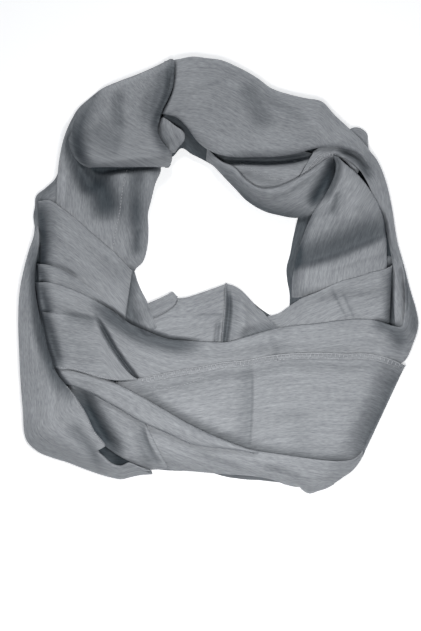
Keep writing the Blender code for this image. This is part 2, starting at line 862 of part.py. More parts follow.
def core_grid(mound):
    """The core's sections: up its outer side, over its crest and down to the hole."""
    ring = smooth_rows(RING_SECTIONS, CORE_SECTIONS_ROUND, loop=True)
    outer, hole = ring[:, 0:2], ring[:, 2:4]
    width = np.hypot(*(hole - outer).T)
    inward = (hole - outer) / width[:, None]
    sections = []
    for start, along, reach in zip(outer, inward, width, strict=True):
        insets = [inset for inset, _ in SIDE_LIPS] + list(FLANK_STATIONS)
        insets += [0.5 * reach]
        insets += [reach - inset for inset in reversed(FLANK_STATIONS)]
        insets += [reach - inset for inset, _ in reversed(SIDE_LIPS)]
        places = start + np.outer(insets, along)
        heights = mound.at(places[:, 0], places[:, 1]) - CORE_COVER
        lips = [height for _, height in SIDE_LIPS]
        heights[: len(lips)] = lips
        heights[-len(lips) :] = lips[::-1]
        sections.append(np.column_stack([places, heights]))
    return np.array(sections)


def make_core(mound, top, collection):
    points = core_grid(mound)

    def build(bm):
        fill_grid(bm, points, loop=True)
        bmesh.ops.recalc_face_normals(bm, faces=bm.faces)

    closed = np.concatenate([points, points[:1]])
    cover = closed[:, len(SIDE_LIPS) - 1 : -len(SIDE_LIPS) + 1]
    samples, _ = split_samples(cover, SAMPLE_STEP)
    top.raise_to(samples[..., 0], samples[..., 1], samples[..., 2])
    return mesh_object("core", build, collection)


def main():
    clear_scene()
    collection = bpy.data.collections.new("wound_chiffon_scarf")
    bpy.context.scene.collection.children.link(collection)
    mounds = sunken_mounds(mound_plan())
    top = Plan(1.0)
    make_core(mounds["core"], top, collection)
    for stretch in STRETCHES:
        make_stretch(stretch, mounds[stretch.name], top, collection)


main()
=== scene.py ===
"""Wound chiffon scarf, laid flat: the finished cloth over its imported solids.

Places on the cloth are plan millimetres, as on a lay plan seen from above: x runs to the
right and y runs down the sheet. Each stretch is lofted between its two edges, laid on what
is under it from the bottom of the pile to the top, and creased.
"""

from collections import namedtuple
from math import pi, radians

import bmesh
import bpy
import numpy as np
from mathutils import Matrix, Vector
from mathutils.bvhtree import BVHTree


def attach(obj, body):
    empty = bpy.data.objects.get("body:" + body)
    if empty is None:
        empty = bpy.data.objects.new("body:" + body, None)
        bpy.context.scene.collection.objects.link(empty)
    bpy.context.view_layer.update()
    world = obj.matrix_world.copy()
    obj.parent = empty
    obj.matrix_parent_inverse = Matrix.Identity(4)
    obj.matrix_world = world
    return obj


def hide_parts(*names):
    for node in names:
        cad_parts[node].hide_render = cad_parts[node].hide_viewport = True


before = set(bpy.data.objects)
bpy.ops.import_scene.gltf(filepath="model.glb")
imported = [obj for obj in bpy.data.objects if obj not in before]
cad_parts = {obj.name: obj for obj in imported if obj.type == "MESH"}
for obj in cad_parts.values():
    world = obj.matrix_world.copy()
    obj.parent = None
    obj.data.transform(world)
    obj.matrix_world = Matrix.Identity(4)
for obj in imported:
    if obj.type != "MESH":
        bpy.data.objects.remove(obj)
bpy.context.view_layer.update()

MM = 0.001
PLAN_MIDDLE = (217.8, 275.1)
PLAN_SIZE = (440, 540)
FAR_AWAY = 1e9

# The mound that the layers make
EDGE_HEIGHT = 8.5
CREST_TOP = 19.0
CREST_FRONT = 26.0
CREST_TOP_Y = 100.0
CREST_FRONT_Y = 400.0
FLANK_OUTER = 26.0
FLANK_HOLE = 22.0
MOUND_STEP = 1.5
MOUND_SOFTNESS = 2.5
RING_PLACES = 160

# The cloth, how close its layers lie and how it bridges dips in the pile
THICKNESS = 0.5
LAYER_GAP = 0.45
PILE_STEP = 1.0
BRIDGE_REACH = 3
BRIDGE_SOFTNESS = 4.0
LIFT_ROUNDS = 6
LOWEST_CLOTH = 4.0
CELL = 1.4
EDGE_STEPS = (0.0, 0.3, 0.7, 1.2, 1.9, 2.8, 4.0)
SHORTEST_STRETCH = 3.2
TEXTURE_SPACING = 1000

# Folded edges: how they round over, and the part that turns under, as out and down
FOLD_FULLNESS = 2.2
LIP = 2.2
LIP_SHARE = 0.4
LIP_DEPTH = 1.3
LIP_SHADE = 0.5
LIP_COVER = 0.8
LIP_CELLS = 6
LIP_SHAPE = ((0.25, -0.35), (0.15, -0.9), (-0.5, -1.2), (-1.4, -1.25))

# Faded edges: how far they sink into the cloth below
SINK = 1.0
FADE_DROP = 3.0
FADE_POWER = 3

# Creases and ripples
CREASE_TAPER = 0.28
CREASE_END = 0.1
TROUGH_MARGIN = 5
RIPPLE_HEIGHT = 0.06
RIPPLE_WAVES = 6
RIPPLE_WIDTHS = (7.0, 24.0)
RIPPLE_LENGTHS = (60.0, 180.0)
RIPPLE_SWELLS = (60, 140)

# The core, and its folded layers at its sides: how far in from the edge, and how high
CORE_SECTIONS = 220
CORE_STATIONS = 56
CORE_COVER = 1.2
CORE_SLACK = 5.0
CORE_SIDE = 9
CORE_SLACK_WIDTH = 10
CORE_LOWEST = 2.0
CORE_TEXTURE_STEP = 4.0
CORE_SIDE_SHADE = 0.6
SIDE_LIPS = ((7.5, 0.0), (4.4, 1.2), (3.6, 2.6), (5.2, 3.7), (3.8, 5.0), (4.0, 6.4), (5.6, 7.6))

# Threads: a stitch stands up in its middle, and narrows to its ends
THREAD_RADIUS = 0.45
THREAD_SIDES = 5
THREAD_END = 0.45
THREAD_COLOUR = (0.50, 0.51, 0.53)
BAR_SLANT = 0.35
BAR_SIZES = (0.8, 1.15)
BAR_ARCH = 0.25
STITCH_ARCH = 0.15
STITCH_SINK = 0.6
ABOVE_ALL = 0.2

# Camera, room, colours and painted shade
CAMERA_HEIGHT = 4.0
SENSOR_WIDTH = 36
CLOTH_LEVEL = 0.028
PHOTO_SIZE = (421, 631)
CLOTH_COLOUR = (0.375, 0.386, 0.400)
# Painted shade: its tint, the trough depth in mm over which it deepens, and a little on all cloth so
# that painted light can lift it
PAINTED_SHADE_TINT = (0.15, 0.18, 0.20)
PAINTED_SHADE_DEPTH = 7.5
PLAIN_PAINTED_SHADE = 0.12
FLOOR_HALF = 3.0
FLOOR_COLOUR = (0.9, 0.9, 0.9, 1)
FLOOR_GLOW = 0.48
ROOM_COLOUR = (0.78, 0.88, 1.0, 1)
ROOM_LIGHT = 0.14
# Name, place and the place it shines at in metres, size in metres, power in watts, and the
# angle that it spreads over
LIGHTS = (
    ("key", (-0.3, 2.1, 2.1), (0, 0, 0), 0.6, 30, 180),
    ("front", (0.04, -0.2, 0.9), (0.04, -0.2, 0), 0.25, 1.15, 80),
)

# Columns: outer edge x and y, hole edge x and y, going clockwise on the plan from the top
RING_SECTIONS = (
    (186, 56.5, 178, 148),
    (222, 60, 200, 158),
    (255, 76, 224, 175),
    (283, 92, 244, 197),
    (320, 100, 270, 212),
    (350, 129, 296, 217),
    (371, 151, 297, 226),
    (387, 184, 292, 246),
    (396, 232, 286.5, 268),
    (408, 280, 290, 286),
    (419, 322, 289, 306),
    (407, 358, 270, 317),
    (388, 407, 252, 302),
    (364, 452, 238, 288),
    (343, 478, 222, 285),
    (300, 488, 200, 293),
    (262, 484, 189, 296),
    (226, 480.5, 180, 297),
    (205, 475, 175, 295),
    (180, 476, 168, 294),
    (150, 474, 158, 299),
    (110, 477, 148, 302),
    (60, 460.5, 142, 292),
    (27, 440, 136, 279),
    (20.5, 388, 133.5, 272),
    (18, 330, 138, 266),
    (21, 280, 146, 255),
    (34, 233, 148, 232),
    (34, 203, 149, 204),
    (57, 170, 155, 182),
    (66, 129, 164, 168.5),
    (95, 92, 171, 160),
    (140, 72, 173, 155),
)

# Columns for every stretch below: one edge x and y, the other edge x and y
RIGHT_INNER_STRIP = (
    (301, 207, 322, 207),
    (297.5, 221, 316, 222),
    (293.5, 238, 311, 240),
    (290.5, 254, 307, 256),
    (287, 268, 303, 270),
    (288, 282, 303, 285),
    (290, 293, 304, 297),
    (290, 306, 306, 309),
)
LEFT_BACK_FOLD = (
    (60, 160, 72, 166),
    (55, 177, 70, 182),
    (45, 187, 68, 198),
    (35, 196, 66, 212),
    (34, 206, 66, 222),
    (32.5, 215, 66, 230),
    (35, 231, 62, 244),
)
CORNER_EAR = (
    (347, 131, 336, 152),
    (354, 126.5, 340, 157),
    (362, 127.5, 345, 161),
    (368, 133, 349, 165),
    (368.8, 143, 353, 169),
    (370, 153, 358, 173),
)
BOTTOM_TIP = (
    (298, 485, 298, 472),
    (303, 491, 304, 474),
    (310, 494.5, 311, 475),
    (319, 492, 319, 475),
    (328, 489, 327, 474),
    (335, 485, 334, 471),
)
TOP_UNDER_FOLD = (
    (158, 104, 160, 140),
    (170, 106, 171, 156),
    (184, 112, 181, 147.5),
    (198, 124, 192, 153.5),
    (210, 136, 204, 159.5),
    (222, 146, 216, 167),
    (236, 151, 226, 177),
)
GAP_FLAP = (
    (150, 112, 163, 116),
    (150, 122, 174, 124.5),
    (152, 132, 184, 132.5),
    (156, 141, 184, 140),
    (160, 150, 178, 147),
    (165, 156, 174, 153),
)
LEFT_DROP = (
    (84, 101, 122, 108),
    (73, 115, 137, 126),
    (64, 136, 150, 146),
    (60, 152, 158, 160),
    (58, 166, 160.5, 169),
    (56.8, 182, 155, 183),
    (56.5, 198, 150.5, 201),
    (56.5, 214, 147.5, 214),
    (58, 228, 148, 229),
    (62, 242, 147, 246),
    (68, 256, 142.5, 261.5),
    (78, 268, 135.5, 268.5),
    (92, 276, 133, 273),
)
SEAM_TUCK = (
    (216, 150, 224, 168),
    (236, 150, 240, 181),
    (262, 149, 262, 193),
    (283, 149, 281, 191),
    (299, 150, 290, 185),
    (313, 153, 299, 177),
)
HOLLOW_FOLD = (
    (374, 258, 399, 254),
    (377, 282, 402, 280),
    (379, 304, 404, 303),
    (382, 332, 406, 330),
)
RIGHT_OUTER_STRIP = (
    (314, 151, 297, 181),
    (322, 145, 312, 173),
    (333, 139.5, 327, 160),
    (346, 138, 339, 156.5),
    (359, 142, 351, 161.5),
    (369, 149.5, 361, 171),
    (376, 157, 368, 183),
    (382, 168, 373, 196),
    (388, 186, 375, 209),
    (393, 210, 378, 220),
    (396, 231, 386.5, 229),
    (399, 246, 390, 246),
    (403.5, 261, 393, 261),
    (408, 280, 394, 281),
    (413, 299, 394, 301),
    (417, 314, 395, 318),
    (417.5, 330, 397, 336),
)
HAMMOCK_FOLD = (
    (207, 148, 206, 159),
    (215, 156, 214, 165.5),
    (223, 162, 223, 175),
    (234, 167, 235, 187.5),
    (247, 180.5, 248, 200.5),
    (260, 188, 264, 210),
    (276, 187.5, 280, 214.5),
    (292, 181, 296, 217),
    (308, 172, 309, 215),
    (322, 162, 324, 208),
    (333, 155.5, 342, 198),
)
TOP_RIGHT_BAND = (
    (164, 60, 150, 108),
    (178, 58.5, 162, 113),
    (192, 56, 176, 116.5),
    (207, 57.5, 187, 126.5),
    (222, 59.7, 197, 140),
    (238, 66.5, 209, 149.5),
    (256, 76.5, 228, 156),
    (272, 88, 255, 156.5),
    (290, 94, 277, 155.8),
    (306, 97.8, 297, 152.8),
    (322, 101, 312, 148.5),
    (335, 114.5, 328, 146.4),
    (350, 128.5, 345, 148),
    (361, 139, 357, 152),
    (369, 149, 365, 159.5),
    (374, 155, 371, 167),
)
# The cap's rows run from its left side to its crease with the band and its right side
TOP_CAP = (
    (170, 57.5, 174, 60),
    (157, 64, 174, 68),
    (138, 72.5, 173.5, 77),
    (118, 80, 172, 88),
    (101, 87.5, 167, 100),
    (88, 97.5, 162, 110),
    (77, 108, 159, 120),
    (71, 119, 157, 130),
    (68.5, 130, 159, 137),
    (68.5, 142, 163.5, 143.5),
    (71.5, 152.5, 169, 150),
    (77, 160, 171.5, 156.5),
    (82.5, 164.5, 170.5, 162),
    (88, 167, 168, 166),
)
RIGHT_LOBE = (
    (334, 156, 338, 157),
    (336.5, 164, 345.5, 164),
    (335.5, 174, 355, 172),
    (330.5, 186, 364, 182),
    (323, 199, 372, 194),
    (314.5, 211, 379, 207),
    (308, 225, 384, 221),
    (303, 238, 386, 236),
    (299, 250, 386.5, 250),
    (295.5, 264, 386.5, 264),
    (293, 280, 385, 279),
    (292.5, 300, 380, 296),
)
INNER_PEAK_LEFT = (
    (148, 306, 142, 338),
    (160, 302, 156, 346),
    (173, 298.5, 172, 350),
    (186, 297.5, 188, 352),
    (198, 293.8, 200, 352),
    (211, 289.3, 211, 352),
    (220, 286, 218, 352),
    (226.5, 283.5, 224, 352),
)
INNER_PEAK_FOLD = (
    (141, 306, 144, 322),
    (150, 302.3, 153, 317.5),
    (160, 298, 161, 314),
    (167, 294.5, 168, 310),
    (172.5, 291.8, 174.5, 305),
    (177, 296.5, 177, 300),
)
CROSS_BAND = (
    (256, 324, 262, 352),
    (267, 317, 275, 352),
    (279, 313.5, 289, 351),
    (290, 306, 302, 350),
    (303, 297.8, 316, 349),
    (317, 292.3, 330, 349),
    (330, 286, 342, 349),
    (343, 280.8, 354, 348),
    (357, 277.3, 366, 346),
    (372, 272.5, 378, 344),
    (384, 269.5, 386, 342),
    (392, 266, 389, 340),
)
INNER_PEAK_RIGHT = (
    (226, 283.8, 221, 352),
    (233, 285.5, 231, 352),
    (241, 290, 243, 352),
    (250, 299, 255, 350),
    (258, 308, 265, 348),
    (264, 313, 273, 346),
    (271, 321, 280, 344),
    (279, 330, 287, 342),
)
INNER_FLAP = (
    (134, 271, 118, 266),
    (137, 281, 114, 284),
    (141.5, 291.5, 112, 298),
    (146.5, 301, 112, 310),
    (150, 310, 114, 322),
    (153, 318, 120, 334),
    (158, 330, 130, 344),
)
LEFT_BAND_UPPER = (
    (38, 201, 41, 300),
    (49, 200.5, 55, 305),
    (61, 207.5, 69, 309),
    (75, 218, 83, 313),
    (90, 231.5, 96, 318),
    (104, 243.5, 106, 323),
    (115, 253, 110, 325),
    (124, 262.5, 117.5, 327),
    (131.5, 270.5, 124, 326),
)
LEFT_BAND_LOWER = (
    (37, 264, 40, 308),
    (47, 264.8, 52, 310),
    (58, 268, 65, 313),
    (69, 273.5, 79, 317),
    (80, 280.5, 93, 322),
    (92, 289, 104, 328),
    (104, 298, 114, 333),
    (115, 307, 122, 337),
)
FRONT_BAND = (
    (35, 283, 46, 362),
    (50, 283, 58, 366),
    (66, 287.5, 72, 367),
    (82, 294, 88, 370),
    (98, 302.5, 104, 374),
    (115, 313, 120, 378),
    (130, 324, 135, 384),
    (146, 331, 151, 386),
    (165, 338.5, 170, 383),
    (185, 341, 190, 379),
    (207, 342, 210, 374.5),
    (225, 342.5, 228, 372),
    (245, 337.5, 248, 370),
    (267, 331.3, 270, 366),
    (290, 326.5, 292, 363.5),
    (317, 324, 320, 363),
    (342, 320.7, 348, 363),
    (365, 319.5, 374, 364),
    (381, 322, 393, 365.5),
    (393, 326, 406, 360),
    (401, 326.8, 413, 345.5),
    (404, 319, 418.8, 326),
    (405.5, 307, 416.5, 309),
    (405.8, 294, 412, 294),
    (404.5, 279, 407.8, 279),
    (402, 264, 404, 264),
)
HEM_PANEL = (
    (116, 381.5, 112, 392),
    (128, 381, 126, 402),
    (141, 378, 142, 411),
    (160, 374, 162, 423),
    (180, 370, 182, 434),
    (200, 367, 203, 444),
    (222, 362.3, 224, 454),
    (246, 360, 247, 462),
    (270, 355.5, 271, 466),
    (296, 353, 295, 470),
    (322, 352.5, 318, 472),
    (346, 353.5, 336, 472),
    (368, 353.5, 347, 470),
    (385, 357, 354, 467),
    (397, 361.5, 359, 463),
    (406, 366, 363, 458),
)
BOTTOM_BAND = (
    (136, 413, 150, 467),
    (150, 418, 168, 469.5),
    (165, 424, 182, 470.8),
    (180, 430, 196, 472),
    (196, 436, 211, 473.4),
    (213, 441, 228, 474.6),
    (230, 445, 245, 475.6),
    (248, 449, 259, 477.2),
    (263, 452, 272, 479.8),
    (281, 454.5, 286, 485),
    (298, 457, 298, 487.3),
    (314, 459.3, 313, 484.5),
    (330, 461, 331, 485.3),
    (344, 461.3, 344, 477.5),
    (354, 459.5, 354, 470.3),
    (360, 455.5, 361.5, 460),
    (363, 452, 364, 454),
)
LOWER_BAND = (
    (70, 378, 66, 394),
    (84, 384, 80, 410),
    (98, 391, 90, 430),
    (110, 397, 101, 443),
    (121, 403, 114, 453),
    (131, 409, 129, 461),
    (137, 413, 143, 467),
    (141, 416, 156, 469.5),
    (144, 420, 168, 469),
)
LOWER_ROLL = (
    (48, 362, 54, 379),
    (60, 367, 62, 382),
    (76, 371, 76, 386.5),
    (92, 375, 92, 393),
    (108, 380, 106, 401),
    (124, 387.5, 122, 410),
    (140, 396, 138, 419.5),
    (157, 406, 152, 426),
    (175, 416.5, 170, 434),
    (193, 426.5, 190, 443),
    (212, 435.5, 208, 446.5),
    (232, 443.5, 228, 448.5),
    (248, 449, 246, 451),
    (262, 452.3, 261, 453.7),
)
FRONT_BAND_LEFT = (
    (41, 312, 46, 364),
    (53, 313, 58, 368.5),
    (66, 315, 70, 369.2),
    (78, 317, 83, 372.3),
    (89, 319, 96, 376.5),
    (97, 322, 108, 379.2),
    (102, 332, 116, 380.2),
    (109, 344.5, 123, 380.4),
    (117, 357, 129, 380.2),
    (125, 368.5, 135, 379.7),
    (131, 377, 140, 379),
)
LEFT_OUTER_BAND = (
    (34.5, 226, 37, 226),
    (33.5, 235, 38.5, 236),
    (28.5, 250, 37.5, 250),
    (24, 267, 34.5, 266),
    (19.5, 290, 34, 288),
    (18, 320, 39, 318),
    (19, 352, 47, 350),
    (20.5, 383, 58, 376),
    (22.5, 408, 69, 389),
    (26, 440, 78, 401),
    (37, 451.5, 86, 414),
    (52, 458, 94, 431),
    (68, 463, 105, 446),
    (84, 469, 98, 450),
    (98, 474, 105, 458),
    (110, 477.5, 113, 464.5),
    (121, 479.5, 121, 466),
    (130, 477.5, 129, 463),
    (140, 475.3, 139, 467),
    (152, 474.5, 151, 471.2),
)

# How an edge ends, and the width over which the cloth turns down to it
Edge = namedtuple("Edge", "kind roll")
Stretch = namedtuple("Stretch", "name rows rise side_a side_b first last grain", defaults=("along",))


def fold(roll):
    return Edge("fold", roll)


def rim(roll):
    """A fold on the ring's outline, which also turns under."""
    return Edge("rim", roll)


def fade(roll):
    """Cloth that runs into what it lies on."""
    return Edge("fade", roll)


# From the bottom of the pile to the top. grain is the way the crinkles run, mostly along
STRETCHES = (
    Stretch("right_inner_strip", RIGHT_INNER_STRIP, 1.0, rim(6), fade(5), fade(8), fade(8)),
    Stretch("left_back_fold", LEFT_BACK_FOLD, 1.0, rim(8), fade(6), fade(8), fade(8)),
    Stretch("corner_ear", CORNER_EAR, 0.6, rim(5), fade(5), fade(5), fade(5)),
    Stretch("bottom_tip", BOTTOM_TIP, 0.8, rim(6), fade(5), fade(5), fade(5)),
    Stretch("top_under_fold", TOP_UNDER_FOLD, 0.6, fade(5), rim(7), fade(8), fade(8)),
    Stretch("gap_flap", GAP_FLAP, 1.6, fade(5), fold(4), fade(6), fade(6)),
    Stretch("left_drop", LEFT_DROP, 2.0, rim(12), rim(12), fade(12), fade(12)),
    Stretch("seam_tuck", SEAM_TUCK, 2.5, fold(5), fold(5), fade(8), fold(5)),
    Stretch("hollow_fold", HOLLOW_FOLD, 0.5, fade(6), fade(6), fade(6), fade(8)),
    Stretch("right_outer_strip", RIGHT_OUTER_STRIP, 2.5, rim(10), fold(6), fold(2.5), fade(10)),
    Stretch("hammock_fold", HAMMOCK_FOLD, 6.5, fold(10), rim(16), fade(14), fade(12)),
    Stretch("top_right_band", TOP_RIGHT_BAND, 9.0, rim(22), fold(14), fade(14), fade(14)),
    Stretch("top_cap", TOP_CAP, 9.0, fade(16), fold(13), rim(14), fold(9), "across"),
    Stretch("right_lobe", RIGHT_LOBE, 6.5, fold(13), fold(10), fold(6), fade(14)),
    Stretch("inner_peak_left", INNER_PEAK_LEFT, 1.5, rim(9), fade(8), fade(10), fold(5)),
    Stretch("inner_peak_fold", INNER_PEAK_FOLD, 1.2, rim(4), fold(4), fade(5), fold(3)),
    Stretch("cross_band", CROSS_BAND, 2.5, rim(8), fade(8), fade(8), fold(6)),
    Stretch("inner_peak_right", INNER_PEAK_RIGHT, 2.5, rim(8), fade(8), fold(3), fold(5)),
    Stretch("inner_flap", INNER_FLAP, 1.2, rim(9), fade(6), fade(6), fade(10)),
    Stretch("left_band_upper", LEFT_BAND_UPPER, 3.2, fold(9), fade(8), fold(6), fold(5)),
    Stretch("left_band_lower", LEFT_BAND_LOWER, 1.5, fold(5), fade(8), fold(6), fade(35)),
    Stretch("front_band", FRONT_BAND, 4.5, fold(12), rim(14), fold(8), fade(8)),
    Stretch("hem_panel", HEM_PANEL, 0.8, fold(1.5), fade(10), fade(6), rim(12)),
    Stretch("bottom_band", BOTTOM_BAND, 3.0, fold(7), rim(10), fade(8), rim(6)),
    Stretch("lower_band", LOWER_BAND, 3.0, fade(7), fold(8), fade(6), fold(4)),
    Stretch("lower_roll", LOWER_ROLL, 6.5, fold(8), fold(8), fade(8), fade(10)),
    Stretch("front_band_left", FRONT_BAND_LEFT, 1.8, fade(9), fold(1.5), fade(8), fade(5)),
    Stretch("left_outer_band", LEFT_OUTER_BAND, 5.5, rim(11), fold(7), fade(8), fade(6)),
)

# A crease: its height, below zero for a trough, its width, and its path on the plan.
# lean makes the side on the right of its path wider, or narrower below zero
Crease = namedtuple("Crease", "height width path lean", defaults=(0,))

# Low layers that lie in the shade of others, from 0 to 1
SHADED = {
    "right_inner_strip": 0.85,
    "left_back_fold": 0.2,
    "top_under_fold": 0.9,
    "hollow_fold": 0.35,
    "inner_flap": 0.15,
}

# Where cloth lies deeper in the shade or catches more light than its form alone makes it:
# how much, how wide and where
SHADES = {
    "hammock_fold": (
        (0.6, 9.5, ((206, 160), (234, 189), (248, 202), (264, 211), (282, 216), (316, 217))),
        (0.3, 9, ((340, 150), (328, 176), (315, 194), (302, 214))),
    ),
    "left_drop": (
        (0.2, 9, ((137, 190), (138, 225), (138, 262))),
        (0.14, 14, ((96, 176), (104, 196), (110, 214))),
        (0.16, 5, ((129, 176), (125, 205), (121, 240))),
        (0.35, 3, ((86, 167), (104, 169.5), (126, 168), (148, 166.5), (166, 168))),
        (-0.2, 5, ((58, 140), (60, 170), (62, 200), (66, 232))),
    ),
    "bottom_tip": (
        (-0.12, 12, ((290, 482), (315, 484), (345, 482))),
    ),
    "left_outer_band": (
        (-0.12, 9, ((22, 260), (22, 340), (26, 400), (48, 424), (84, 456))),
    ),
    "left_band_upper": (
        (0.2, 9, ((40, 200), (44, 240), (44, 275))),
    ),
    "left_band_lower": (
        (0.15, 10, ((50, 280), (80, 295), (105, 315))),
    ),
    "front_band_left": (
        (0.12, 14, ((58, 328), (74, 348), (94, 370))),
    ),
    "right_lobe": (
        (-0.12, 9, ((345, 175), (352, 196), (348, 222))),
        (0.45, 5, ((322, 200), (306, 226), (298, 250), (294, 276), (292, 306))),
    ),
    "top_right_band": (
        (-0.14, 12, ((182, 60), (190, 76), (204, 108))),
        (-0.1, 9, ((296, 106), (322, 122), (350, 142))),
    ),
    "lower_band": (
        (0.25, 6, ((136, 430), (145, 452), (152, 470))),
        (0.2, 8, ((82, 400), (95, 424), (110, 448))),
    ),
    "inner_peak_right": (
        (0.22, 6, ((230, 288), (234, 315), (228, 350))),
    ),
    "cross_band": (
        (0.3, 1.5, ((330.5, 286), (335.5, 297), (341, 307), (348, 321))),
        (0.3, 1.5, ((341, 290), (346.5, 301), (350.5, 310), (356, 322))),
    ),
    "bottom_band": (
        (-0.08, 12, ((160, 460), (210, 466), (280, 476), (350, 472))),
    ),
    "hem_panel": (
        (-0.1, 14, ((150, 396), (190, 410), (236, 424))),
        (0.12, 10, ((262, 458), (300, 462), (350, 462))),
    ),
}

